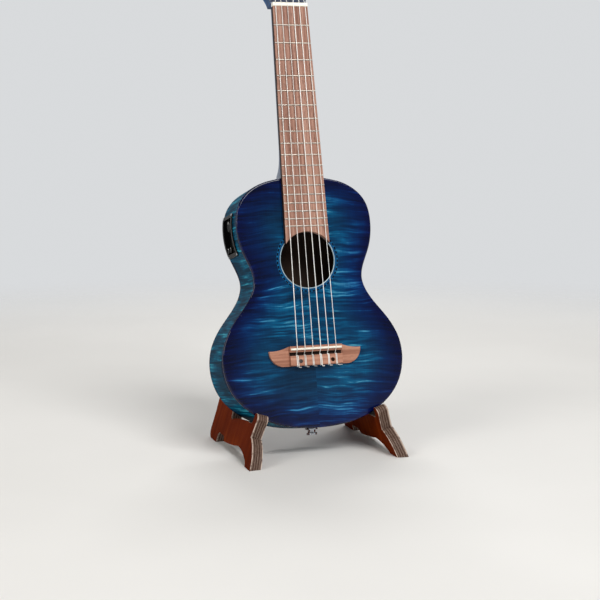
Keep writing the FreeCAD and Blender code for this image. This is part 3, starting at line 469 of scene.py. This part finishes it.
def make_materials():
    return {
        "top": flamed_maple("blue_maple_top", [
            [(0.0, "010316"), (0.5, "020a38"), (1.0, "062463")],
            [(0.0, "010a28"), (0.45, "011f4e"), (0.75, "033a6e"), (1.0, "2871a2")],
            [(0.0, "02192f"), (0.4, "03385b"), (0.7, "06577e"), (1.0, "4f9fb9")]],
            [(0.0, 0.022), (0.014, 0.052)], 160, 0.012, 0.75),
        "body": flamed_maple("blue_maple_body", [
            [(0.0, "010818"), (0.5, "02143a"), (1.0, "052e60")],
            [(0.0, "021824"), (0.4, "043b55"), (0.7, "08617f"), (1.0, "3f9fb2")]],
            [(-0.001, 0.008)], 185, 0.004, 0.1),
        "raw": plain_wood("raw_inside", 2, "20140d", "38261a", roughness=0.8),
        "edge_ring": plastic("hole_edge", "7d949f", "a3b8c1", 0.4, 900, coat=0.6, specular=0.1),
        "neck": plain_wood("neck_wood", 2, "04264c", "0c5188", roughness=0.4, coat=0.35, specular=0.1),
        "head_face": plain_wood("head_veneer", 2, "04142c", "0a2a4e", roughness=0.3, coat=1.0),
        "board": walnut("walnut_board", 2, ("734c3e", "9b7261", "b9917e")),
        "bridge": walnut("walnut_bridge", 0, ("7f5342", "a8755f", "c4957d"), shaded=True),
        "pale": plain_wood("pale_wood", 2, "b08a5c", "d9bb8a", roughness=0.7),
        "cross": plain_wood("pale_wood_cross", 0, "b08a5c", "d9bb8a", roughness=0.7),
        "mosaic": mosaic("rosette"),
        "ply_left": stand_plywood("plywood_left", -1),
        "ply_right": stand_plywood("plywood_right", 1),
        "fret": metal("fret_wire", "b3a79b", 0.34),
        "chrome": metal("tuner_chrome", "d8dadd", 0.1),
        "steel": metal("steel", "b9bbbf", 0.3, brushed=0.1),
        "plug": metal("bridge_screw", "2c1d15", 0.45),
        "bone": plastic("bone", "e8e0cf", "f4efe2", 0.38, 900),
        "nylon": nylon("nylon"),
        "wound": wound("wound_string"),
        "buttons": plastic("tuner_buttons", "e2dccb", "efeadb", 0.3, 700, coat=0.5),
        "black": plastic("black_plastic", "040405", "0b0b0c", 0.42, 2200, relief=0.00004, specular=0.12),
        "mark": plastic("white_mark", "dcdcd8", "ecece8", 0.5),
        "circuit": board_green("circuit_board"),
        "window": dark_window("window"),
        "cable": plastic("cable", "101012", "1a1a1d", 0.5),
    }


MATERIALS = make_materials()


# ---- mesh helpers ----
def finish_piece(obj, place, body, replaced=(), sharp=35.0):
    """Put a piece in the row frame, let it ride, and shade it smooth except at hard edges."""
    obj.data.shade_smooth()
    obj.data.set_sharp_from_angle(angle=math.radians(sharp))
    obj.matrix_world = place
    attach(obj, body)
    if replaced:
        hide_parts(*replaced)
    return obj


def new_object(name, points, faces, materials):
    """A mesh object from points in millimetres."""
    mesh = bpy.data.meshes.new(name)
    mesh.from_pydata([tuple(float(v) * MM for v in p) for p in points], [], faces)
    for key in materials:
        mesh.materials.append(MATERIALS[key])
    obj = bpy.data.objects.new(name, mesh)
    bpy.context.scene.collection.objects.link(obj)
    return obj


def vector_attribute(obj, name, values):
    """Store one vector for each vertex, given in millimetres."""
    attribute = obj.data.attributes.new(name, "FLOAT_VECTOR", "POINT")
    attribute.data.foreach_set("vector", np.asarray(values, np.float32).ravel() * MM)


def weighted(obj):
    """Let large faces decide how the rounded edges beside them are shaded."""
    modifier = obj.modifiers.new("weighted_normals", "WEIGHTED_NORMAL")
    modifier.keep_sharp = True
    return obj


def softened_mesh(mesh, width, segments, angle=30.0):
    """Join a CAD mesh's split vertices, clean its flat faces and round its hard edges."""
    solid = bmesh.new()
    solid.from_mesh(mesh)
    bmesh.ops.remove_doubles(solid, verts=solid.verts, dist=2e-6)
    bmesh.ops.dissolve_limit(solid, angle_limit=math.radians(0.6), verts=solid.verts, edges=solid.edges)
    hard = [e for e in solid.edges if len(e.link_faces) == 2 and e.calc_face_angle(0) > math.radians(angle)]
    if width:
        bmesh.ops.bevel(solid, geom=hard, offset=width * MM, segments=segments, profile=0.5, affect="EDGES",
                        clamp_overlap=True)
    solid.to_mesh(mesh)
    solid.free()


def only_material(mesh, key):
    mesh.materials.clear()
    mesh.materials.append(MATERIALS[key])


def node_copy(node, name, place):
    """A visible copy of a CAD node, with its mesh moved into the frame given."""
    source = frame["nodes"][node]
    obj = source.copy()
    obj.data = source.data.copy()
    obj.name = name
    obj.hide_render = False
    obj.hide_viewport = False
    bpy.context.scene.collection.objects.link(obj)
    obj.parent = None
    for key in [k for k in obj.keys() if k.startswith("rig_")]:
        del obj[key]
    obj.data.transform(place.inverted())
    return obj


def softened(node, place, material, width, segments):
    """A rounded copy of a CAD node, in the frame given, that stands for it."""
    obj = node_copy(node, node + "_soft", place)
    softened_mesh(obj.data, width, segments)
    only_material(obj.data, material)
    return finish_piece(weighted(obj), place, frame["nodes"][node]["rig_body"], [node])


def swept(points, radius, sides=12, closed_ends=True):
    """Vertices, faces and run lengths of a round bar along a path, in millimetres."""
    path = [Vector(p) for p in points]
    tangent = (path[1] - path[0]).normalized()
    normal = tangent.orthogonal().normalized()
    vertices, faces, runs = [], [], []
    run = 0.0
    for i, point in enumerate(path):
        ahead = path[min(i + 1, len(path) - 1)] - path[max(i - 1, 0)]
        new_tangent = ahead.normalized()
        normal = (tangent.rotation_difference(new_tangent) @ normal).normalized()
        tangent = new_tangent
        other = tangent.cross(normal)
        if i:
            run += (point - path[i - 1]).length
        for k in range(sides):
            a = 2 * math.pi * k / sides
            vertices.append(point + (normal * math.cos(a) + other * math.sin(a)) * radius)
            runs.append((run, 0, 0))
    for i in range(len(path) - 1):
        for k in range(sides):
            a, b = i * sides + k, i * sides + (k + 1) % sides
            faces.append((a, b, b + sides, a + sides))
    if closed_ends:
        faces.append(tuple(reversed(range(sides))))
        faces.append(tuple(range((len(path) - 1) * sides, len(path) * sides)))
    return vertices, faces, runs


def rounded_path(points, bend, steps=6):
    """Straight runs joined by tangent arcs."""
    corners = [Vector(p) for p in points]
    path = [corners[0]]
    for before, corner, after in zip(corners, corners[1:], corners[2:]):
        back = (before - corner).normalized()
        ahead = (after - corner).normalized()
        half = back.angle(ahead) / 2
        if half > math.radians(89):
            path.append(corner)
            continue
        reach = min(bend / math.tan(half), (before - corner).length * 0.48, (after - corner).length * 0.48)
        radius = reach * math.tan(half)
        centre = corner + (back + ahead).normalized() * (radius / math.sin(half))
        first, last = corner + back * reach, corner + ahead * reach
        a, b = first - centre, last - centre
        sweep = a.angle(b)
        axis = a.cross(b).normalized()
        for step in range(steps + 1):
            path.append(centre + Matrix.Rotation(sweep * step / steps, 3, axis) @ a)
    path.append(corners[-1])
    return path


# ---- the body's outline ----
def closed_spline(points, count):
    """A smooth closed curve through the points, sampled at even steps of its length."""
    p = np.array(points, float)
    n = len(p)
    h = np.linalg.norm(np.roll(p, -1, 0) - p, axis=1)
    a = np.zeros((n, n))
    slope = (np.roll(p, -1, 0) - p) / h[:, None]
    for i in range(n):
        a[i, i - 1] += h[i - 1]
        a[i, i] += 2 * (h[i - 1] + h[i])
        a[i, (i + 1) % n] += h[i]
    m = np.linalg.solve(a, 6 * (slope - np.roll(slope, 1, 0)))
    dense = []
    for i in range(n):
        j = (i + 1) % n
        t = np.linspace(0, h[i], 80, endpoint=False)[:, None]
        u = h[i] - t
        dense.append((m[i] * u ** 3 + m[j] * t ** 3) / (6 * h[i]) + (p[i] / h[i] - m[i] * h[i] / 6) * u
                     + (p[j] / h[i] - m[j] * h[i] / 6) * t)
    dense = np.concatenate(dense)
    loop = np.vstack([dense, dense[:1]])
    lengths = np.concatenate([[0], np.cumsum(np.linalg.norm(np.diff(loop, axis=0), axis=1))])
    even = np.linspace(0, lengths[-1], count, endpoint=False)
    return np.column_stack([np.interp(even, lengths, loop[:, k]) for k in (0, 1)]), lengths[-1]


LEFT_HALF = [(-x, z) for x, z in HALF_OUTLINE[-2:0:-1]]
OUTLINE, OUTLINE_LENGTH = closed_spline(HALF_OUTLINE + LEFT_HALF, 640)


def inward():
    """Unit vectors from each outline sample into the body."""
    tangent = np.roll(OUTLINE, -1, 0) - np.roll(OUTLINE, 1, 0)
    tangent /= np.linalg.norm(tangent, axis=1)[:, None]
    return np.column_stack([tangent[:, 1], -tangent[:, 0]])


INWARD = inward()


def back_y(z):
    """Depth of the slanted back at height z."""
    return DEPTH_AT_TAIL - (DEPTH_AT_TAIL - DEPTH_AT_NECK) * (z - TAIL_Z) / (SHOULDER_Z - TAIL_Z)


def edge_distance(xz):
    """Distance of each point from the outline."""
    out = np.empty(len(xz))
    for start in range(0, len(xz), 2000):
        part = xz[start:start + 2000]
        gaps = part[:, None, :] - OUTLINE[None, ::2, :]
        out[start:start + 2000] = np.sqrt((gaps ** 2).sum(-1)).min(1)
    return out


def ring_faces(columns, rows, wrap_rows):
    """Quads over a grid that closes round its columns, and round its rows when wrap_rows is set."""
    faces = []
    for k in range(columns):
        following = (k + 1) % columns
        for j in range(rows if wrap_rows else rows - 1):
            down = (j + 1) % rows
            faces.append((k * rows + j, following * rows + j, following * rows + down, k * rows + down))
    return faces


def quarter(radius, steps=6):
    """Steps of a rounded edge: (distance in from the side, distance below the face)."""
    angles = [math.pi / 2 * s / steps for s in range(steps + 1)]
    return [(radius - radius * math.sin(a), radius - radius * math.cos(a)) for a in angles]


def make_body_top():
    """Soundboard and its rounded edge, with the soundhole cut through."""
    outline = OUTLINE[::2]
    inset = INWARD[::2]
    columns = len(outline)
    rings = 34
    centre = np.array([0, HOLE_Z])
    base = outline + inset * EDGE_RADIUS
    direction = base - centre
    reach = np.linalg.norm(direction, axis=1)
    direction /= reach[:, None]
    start = HOLE_RADIUS + HOLE_RING
    around_hole = [(HOLE_RADIUS, PLATE)]
    around_hole += [(HOLE_RADIUS + down, back_in) for back_in, down in quarter(HOLE_ROUND, 4)]
    around_hole.append((start, 0.0))
    profile = [(np.full(columns, radius), y) for radius, y in around_hole]
    wall_rows = len(profile)
    for ring in range(1, rings):
        profile.append((start + (reach - start) * ring / rings, 0.0))
    rows = [(centre + direction * r[:, None], y) for r, y in profile]
    for back_in, down in quarter(EDGE_RADIUS):
        rows.append((outline + inset * back_in, down))
    rows.append((outline, BINDING_DEPTH))
    rows.append((outline + inset * RIM, BINDING_DEPTH))
    rows.append((outline + inset * (RIM + 0.5), PLATE))
    count = len(rows)
    points = np.zeros((columns, count, 3))
    for j, (xz, y) in enumerate(rows):
        points[:, j, 0] = xz[:, 0]
        points[:, j, 1] = y
        points[:, j, 2] = xz[:, 1]
    points = points.reshape(-1, 3)
    obj = new_object("body_top", points, ring_faces(columns, count, True), ["top", "raw", "edge_ring"])
    distance = edge_distance(points[:, [0, 2]]) - points[:, 1] * 1.2
    vector_attribute(obj, "grain", np.column_stack([points[:, 0], points[:, 2], distance]))
    for polygon in obj.data.polygons:
        row = polygon.index % count
        if row == 0 or row >= count - 2:
            polygon.material_index = 1
        elif row < wall_rows - 1:
            polygon.material_index = 2
    return finish_piece(weighted(obj), GUITAR, "guitar", ["soundboard", "top_binding"])


def make_body_sides():
    """Bent sides, open where the preamp and the output jack go through."""
    columns, rows = len(OUTLINE), 46
    points = np.zeros((columns, rows, 3))
    grain = np.zeros((columns, rows, 3))
    along = np.linspace(0, OUTLINE_LENGTH, columns, endpoint=False)
    mirrored_along = np.minimum(along, OUTLINE_LENGTH - along)
    bottom = back_y(OUTLINE[:, 1]) - BINDING_DEPTH
    for j in range(rows):
        y = BINDING_DEPTH + (bottom - BINDING_DEPTH) * j / (rows - 1)
        points[:, j] = np.column_stack([OUTLINE[:, 0], y, OUTLINE[:, 1]])
        nearest = np.minimum(y, bottom + BINDING_DEPTH - y)
        grain[:, j] = np.column_stack([y + 4.0, mirrored_along, nearest])
    points = points.reshape(-1, 3)
    obj = new_object("body_sides", points, ring_faces(columns, rows, False), ["body", "raw"])
    vector_attribute(obj, "grain", grain.reshape(-1, 3))
    solid = bmesh.new()
    solid.from_mesh(obj.data)
    doomed = []
    for face in solid.faces:
        corners = [v.co / MM for v in face.verts]
        window = any(c.x < 0 and OPENING_Y[0] < c.y < OPENING_Y[1] and OPENING_Z[0] < c.z < OPENING_Z[1]
                     for c in corners)
        jack = any(c.z < TAIL_Z / 2 and math.hypot(c.x, c.y - JACK_Y) < JACK_HOLE for c in corners)
        if window or jack:
            doomed.append(face)
    bmesh.ops.delete(solid, geom=doomed, context="FACES")
    bmesh.ops.recalc_face_normals(solid, faces=solid.faces)
    solid.to_mesh(obj.data)
    solid.free()
    sample = obj.data.polygons[0]
    outward = Vector((sample.center.x, 0, sample.center.z)) - Vector((0, 0, 0.06))
    thick = obj.modifiers.new("thickness", "SOLIDIFY")
    thick.thickness = RIM * MM
    thick.offset = -1.0 if sample.normal.dot(outward) > 0 else 1.0
    thick.material_offset = 1
    return finish_piece(obj, GUITAR, "guitar", ["side_rims"])


def make_body_back():
    """Back plate with a rounded edge, slanted towards the neck."""
    outline = OUTLINE[::2]
    inset = INWARD[::2]
    columns = len(outline)
    rings = 24
    centre = np.array([0, 60.0])
    base = outline + inset * EDGE_RADIUS
    rows = [(outline + inset * (RIM + 0.5), PLATE), (outline + inset * RIM, BINDING_DEPTH),
            (outline, BINDING_DEPTH)]
    for back_in, down in reversed(quarter(EDGE_RADIUS)):
        rows.append((outline + inset * back_in, down))
    for ring in range(1, rings):
        rows.append((base + (centre - base) * ring / rings, 0.0))
    count = len(rows)
    points = np.zeros((columns, count, 3))
    for j, (xz, up) in enumerate(rows):
        points[:, j] = np.column_stack([xz[:, 0], back_y(xz[:, 1]) - up, xz[:, 1]])
    points = points.reshape(-1, 3)
    faces = ring_faces(columns, count, False)
    hub = len(points)
    under = hub + 1
    points = np.vstack([points, [0, back_y(centre[1]), centre[1]], [0, back_y(centre[1]) - PLATE, centre[1]]])
    for k in range(columns):
        following = (k + 1) % columns
        faces.append((k * count + count - 1, following * count + count - 1, hub))
        faces.append((following * count, k * count, under))
    obj = new_object("body_back", points, faces, ["body", "raw"])
    for polygon in obj.data.polygons:
        if all(abs(back_y(v[2]) - v[1]) > PLATE - 0.6 for v in (points[i] for i in polygon.vertices)):
            polygon.material_index = 1
    depth = back_y(points[:, 2]) - points[:, 1]
    distance = edge_distance(points[:, [0, 2]]) - depth * 1.2
    vector_attribute(obj, "grain", np.column_stack([points[:, 0], points[:, 2], distance * 0.4]))
    return finish_piece(weighted(obj), GUITAR, "guitar", ["back_panel", "back_binding"])


def ring_points(inner, outer, front, depth, steps=160):
    """A flat ring about the soundhole with its section closed."""
    points = []
    for k in range(steps):
        a = 2 * math.pi * k / steps
        for radius, y in ((inner, depth), (inner, front), (outer, front), (outer, depth)):
            points.append((radius * math.cos(a), y, HOLE_Z + radius * math.sin(a)))
    return points, ring_faces(steps, 4, True)


def make_rosette():
    points, faces = ring_points(ROSETTE[0], ROSETTE[1], -0.04, 0.6)
    obj = new_object("rosette_ring", points, faces, ["mosaic"])
    return finish_piece(obj, GUITAR, "guitar", ["rosette"])


# ---- neck ----
def board_half(z):
    """Half width of the fingerboard at height z."""
    return BOARD_HALF_AT_SADDLE - BOARD_TAPER * z


def make_neck_shaft():
    """Shaft and heel in one smooth form, with a flat front under the fingerboard."""
    sides = 28
    stations = [SHOULDER_Z - 1.5 + (HEEL_TOP + 12) * s / 26 for s in range(27)]
    top = NUT_END_Z + 2
    stations += [stations[-1] + (top - stations[-1]) * s / 12 for s in range(1, 13)]
    points = []
    for z in stations:
        rise = max(0.0, z - SHOULDER_Z)
        share = (z - SHOULDER_Z) / (NUT_END_Z - SHOULDER_Z)
        shaft = NECK_DEPTH[1] + (NECK_DEPTH[0] - NECK_DEPTH[1]) * share
        fall = min(1.0, max(0.0, (rise - HEEL_FOOT) / (HEEL_TOP - HEEL_FOOT)))
        fullness = (1 - fall) ** 2.6
        depth = shaft + (HEEL_DEPTH - shaft) * fullness
        half = board_half(z)
        for k in range(sides + 1):
            a = math.pi * k / sides
            y = depth * math.sin(a) ** 0.8
            narrow = half + (HEEL_HALF - half) * min(1.0, y / HEEL_DEPTH)
            boxy = abs(math.cos(a)) ** (0.75 - 0.5 * fullness)
            points.append((-narrow * math.copysign(boxy, math.cos(a)), y, z))
    across = sides + 1
    faces = []
    for i in range(len(stations) - 1):
        for k in range(across):
            a, b = i * across + k, i * across + (k + 1) % across
            faces.append((a, b, b + across, a + across))
    faces.append(tuple(reversed(range(across))))
    faces.append(tuple(range((len(stations) - 1) * across, len(stations) * across)))
    obj = new_object("neck_shaft", points, faces, ["neck"])
    return finish_piece(obj, GUITAR, "guitar", ["neck"], sharp=50)


def make_head():
    """Head of the neck: the CAD head cut free above the nut, with its edges rounded."""
    obj = node_copy("neck", "head", HEAD)
    solid = bmesh.new()
    solid.from_mesh(obj.data)
    bmesh.ops.remove_doubles(solid, verts=solid.verts, dist=2e-6)
    everything = solid.verts[:] + solid.edges[:] + solid.faces[:]
    cut = bmesh.ops.bisect_plane(solid, geom=everything, plane_co=(0, 0, 0.0004), plane_no=(0, 0, 1),
                                 clear_inner=True)
    edges = [g for g in cut["geom_cut"] if isinstance(g, bmesh.types.BMEdge)]
    bmesh.ops.holes_fill(solid, edges=edges, sides=0)
    solid.to_mesh(obj.data)
    solid.free()
    softened_mesh(obj.data, 1.4, 3)
    only_material(obj.data, "neck")
    return finish_piece(weighted(obj), HEAD, "guitar", ["neck"])


# ---- strings ----
def string_x(index, z):
    """Sideways place of a string at height z."""
    spread = SPREAD_AT_SADDLE + (SPREAD_AT_NUT - SPREAD_AT_SADDLE) * z / SCALE_LENGTH
    return spread * (index / 2.5 - 1)


def head_to_guitar(point):
    """A point of the head's frame in the guitar's, both in millimetres."""
    return GUITAR.inverted() @ HEAD @ (Vector(point) * MM) / MM


def coil(post_x, post_z, radius, turns):
    """Winding on a post, in the guitar's frame, from the head's side outwards and into the post's hole."""
    side = math.copysign(1, post_x)
    around = POST_RADIUS + 0.1 + radius
    height = 2.2 * radius * turns
    low = COIL_Y + height / 2
    points = []
    for step in range(int(turns * 20) + 1):
        a = math.pi + 2 * math.pi * step / 20
        x, z = post_x + side * around * math.cos(a), post_z + around * math.sin(a)
        points.append(head_to_guitar((x, low - height * step / (turns * 20), z)))
    a += 0.5
    points.append(head_to_guitar((post_x + side * around * math.cos(a), -9.0, post_z + around * math.sin(a))))
    points.append(head_to_guitar((post_x - side * 1.0, -9.5, post_z)))
    points.append(head_to_guitar((post_x + side * 7.5, -9.5, post_z + 0.6)))
    return points


def make_string(index):
    """A taut string with its tie at the bridge and its winding on the post."""
    radius = STRING_RADII[index]
    bridge_x = string_x(index, 0)
    nut_x = string_x(index, SCALE_LENGTH)
    gap = radius + 0.05
    side = -1 if index < 3 else 1
    row = index if index < 3 else 5 - index
    top = -BRIDGE_HEIGHT - gap
    tail_end = 5.6 if index < 5 else 8.5
    run = [(bridge_x + tail_end, TIE_HOLE_Y + 0.2, TIE_BACK_Z - 3 * gap),
           (bridge_x + 1.6, -BRIDGE_HEIGHT + 0.6, TIE_BACK_Z - 3.1 * gap),
           (bridge_x + 2.1 * radius + 0.1, top, TIE_BACK_Z + 0.6),
           (bridge_x + 1.9 * radius, top - 0.1, -9.6),
           (bridge_x + 1.0 * radius, top - 0.7, -7.8),
           (bridge_x - 1.8 * radius, -BRIDGE_HEIGHT + 0.4, -7.2),
           (bridge_x - 1.2 * radius, top, -9.4),
           (bridge_x - 0.9 * radius, top, TIE_BACK_Z - gap),
           (bridge_x, TIE_HOLE_Y, TIE_BACK_Z - gap),
           (bridge_x, TIE_HOLE_Y, -6.5),
           (bridge_x, -SADDLE_TOP - gap, -0.6),
           (nut_x, -NUT_HEIGHT, SCALE_LENGTH + 2.5)]
    winding = coil(side * POST_X, POST_Z[row], radius, 3)
    path = rounded_path(run + [winding[0]], 1.4)[:-1] + winding
    vertices, faces, runs = swept(path, radius)
    material, slot = ("wound", "wound_string") if index < 3 else ("nylon", "nylon")
    obj = new_object(f"string_{index + 1}_line", vertices, faces, [material])
    vector_attribute(obj, "run", runs)
    return finish_piece(obj, GUITAR, "guitar", [f"string_{index + 1}"], sharp=60)


# ---- preamp ----
def make_knob(node, y, z, radius, ribs):
    """Round knob with a ribbed skirt, a dished face and a white pointer."""
    steps = ribs * 6
    height = KNOB_HEIGHT
    foot_x = PREAMP_FLOOR_X - KNOB_GAP
    face_x = foot_x - height
    rows = [(0.96, 0.0), (1.0, 0.35), (1.0, height * 0.72), (0.95, height * 0.92), (0.88, height),
            (0.8, height), (0.5, height - 0.25)]
    points = []
    for k in range(steps):
        a = 2 * math.pi * k / steps
        rib = 0.5 + 0.5 * math.cos(ribs * a)
        for share, up in rows:
            r = radius * (share - (0.055 * rib if 0.3 < up < height - 0.2 else 0.0))
            points.append((foot_x - up, y + r * math.cos(a), z + r * math.sin(a)))
    faces = ring_faces(steps, len(rows), False)
    points.append((foot_x, y, z))
    points.append((face_x + 0.35, y, z))
    for k in range(steps):
        following = (k + 1) % steps
        faces.append((following * len(rows), k * len(rows), len(points) - 2))
        faces.append((k * len(rows) + len(rows) - 1, following * len(rows) + len(rows) - 1, len(points) - 1))
    obj = new_object(node + "_cap", points, faces, ["black"])
    finish_piece(weighted(obj), GUITAR, node, [node])
    x0, x1 = face_x - 0.06, face_x + 0.3
    z0, z1 = z + radius * 0.4, z + radius * 0.84
    w = max(0.35, radius * 0.06)
    corners = [(x, y + side * w, height_z) for x in (x0, x1) for height_z in (z0, z1) for side in (-1, 1)]
    quads = [(0, 1, 3, 2), (4, 6, 7, 5), (0, 4, 5, 1), (2, 3, 7, 6), (0, 2, 6, 4), (1, 5, 7, 3)]
    mark = new_object(node + "_pointer", corners, quads, ["mark"])
    finish_piece(mark, GUITAR, node)


# ---- everything ----
def make_guitar():
    """The finer pieces first, then rounded copies of the CAD nodes whose shape is right."""
    make_body_top()
    make_body_sides()
    make_body_back()
    make_rosette()
    make_neck_shaft()
    make_head()
    for index in range(6):
        make_string(index)
    make_knob("preamp_volume_knob", 42.0, 161.5, 7.5, 20)
    make_knob("preamp_bass_knob", 50.0, 131.5, 3.6, 14)
    make_knob("preamp_treble_knob", 39.5, 131.5, 3.6, 14)
    # node, frame, material, slot, edge width, steps across the edge
    soft = [
        ("fingerboard", GUITAR, "board", "walnut", 0.5, 2),
        ("frets", GUITAR, "fret", "fret_wire", 0.2, 1),
        ("nut", GUITAR, "bone", "bone", 0.15, 1),
        ("saddle", GUITAR, "bone", "bone", 0.15, 1),
        ("bridge", GUITAR, "bridge", "walnut", 0.45, 3),
        ("bridge_screws", GUITAR, "plug", "steel", 0.2, 2),
        ("head_veneer", HEAD, "head_face", "head_veneer", 0.3, 2),
        ("preamp_bezel", GUITAR, "black", "black_plastic", 0.5, 3),
        ("preamp_window", GUITAR, "window", "window", 0.15, 1),
        ("preamp_screws", GUITAR, "steel", "steel", 0.15, 1),
        ("preamp_button", GUITAR, "black", "black_plastic", 0.3, 2),
        ("jack_sleeve", GUITAR, "chrome", "steel", 0.35, 2),
        ("tuner_housings", HEAD, "chrome", "tuner_chrome", 0.7, 3),
        ("tuner_bushings", HEAD, "chrome", "tuner_chrome", 0.35, 2),
        ("tuner_screws", HEAD, "chrome", "tuner_chrome", 0.25, 2),
    ]
    for number in range(1, 7):
        soft.append((f"tuner_post_{number}", HEAD, "chrome", "tuner_chrome", 0.3, 2))
        soft.append((f"tuner_button_{number}", HEAD, "buttons", "tuner_buttons", 0.9, 3))
    for node, place, material, slot, width, segments in soft:
        softened(node, place, material, width, segments)


def make_stand():
    for name in ("left", "right"):
        softened(f"stand_leg_{name}", ROW, f"ply_{name}", 0.8, 3)
    for node in ("hinge_bolt", "hinge_nut", "hinge_washers"):
        softened(node, ROW, "steel", 0.4, 2)


INSIDE = {
    "linings": "pale", "neck_block": "pale", "tail_block": "cross", "top_braces": "cross",
    "back_braces": "cross", "bridge_plate": "cross", "saddle_pickup": "steel", "preamp_housing": "black",
    "preamp_board": "circuit", "coin_cells": "steel", "wires": "cable", "jack_nut": "steel",
}


def dress_inside():
    """Give the CAD nodes that stay as they are their materials."""
    for node, material in INSIDE.items():
        only_material(frame["nodes"][node].data, material)


# ---- stage, light and camera ----
def make_floor():
    """Round pale floor that fades into the pale surroundings."""
    steps, radius = 96, 3.0
    points = [(radius * math.cos(2 * math.pi * k / steps), radius * math.sin(2 * math.pi * k / steps), 0)
              for k in range(steps)]
    mesh = bpy.data.meshes.new("studio_floor")
    mesh.from_pydata(points, [], [tuple(range(steps))])
    mesh.materials.append(floor_material())
    floor = bpy.data.objects.new("studio_floor", mesh)
    bpy.context.scene.collection.objects.link(floor)


def make_light(name, place, target, size, power, colour=(1, 1, 1)):
    data = bpy.data.lights.new(name, "AREA")
    data.shape = "RECTANGLE"
    data.size, data.size_y = size
    data.energy = power
    data.color = colour
    light = bpy.data.objects.new(name, data)
    bpy.context.scene.collection.objects.link(light)
    light.location = place
    light.rotation_euler = (Vector(target) - Vector(place)).to_track_quat("-Z", "Y").to_euler()


def make_studio():
    """Three large soft lights in a room that is pale low down and dimmer above, so that gloss stays clear."""
    make_floor()
    middle = (0, 0, 0.25)
    make_light("key", (0.5, -2.0, 2.1), middle, (1.4, 1.2), 58)
    make_light("fill", (-2.1, -0.9, 1.5), middle, (1.2, 1.2), 20, (1.0, 0.97, 0.93))
    make_light("back", (0.6, 1.7, 2.0), middle, (1.6, 0.5), 30)
    world = bpy.data.worlds.new("studio")
    world.use_nodes = True
    tree = world.node_tree
    background = tree.nodes["Background"]
    background.inputs["Color"].default_value = (0.96, 0.98, 1.0, 1)
    split = tree.nodes.new("ShaderNodeSeparateXYZ")
    fade = tree.nodes.new("ShaderNodeMapRange")
    fade.interpolation_type = "SMOOTHSTEP"
    for socket, value in (("From Min", 0.08), ("From Max", 0.3), ("To Min", 0.72), ("To Max", 0.18)):
        fade.inputs[socket].default_value = value
    direction = tree.nodes.new("ShaderNodeTexCoord").outputs["Generated"]
    tree.links.new(direction, split.inputs[0])
    tree.links.new(split.outputs["Z"], fade.inputs["Value"])
    tree.links.new(fade.outputs["Result"], background.inputs["Strength"])
    bpy.context.scene.world = world
    bpy.context.scene.view_settings.view_transform = "Standard"


def make_camera():
    data = bpy.data.cameras.new("camera")
    data.lens = 81.042
    data.sensor_width = 36.0
    data.clip_end = 50
    camera = bpy.data.objects.new("camera", data)
    bpy.context.scene.collection.objects.link(camera)
    camera.location = (-0.5509, -1.6146, 0.4272)
    camera.rotation_euler = (math.radians(90 - 8.07), 0, math.radians(-18.86))
    bpy.context.scene.camera = camera


make_camera()
make_guitar()
make_stand()
dress_inside()
make_studio()
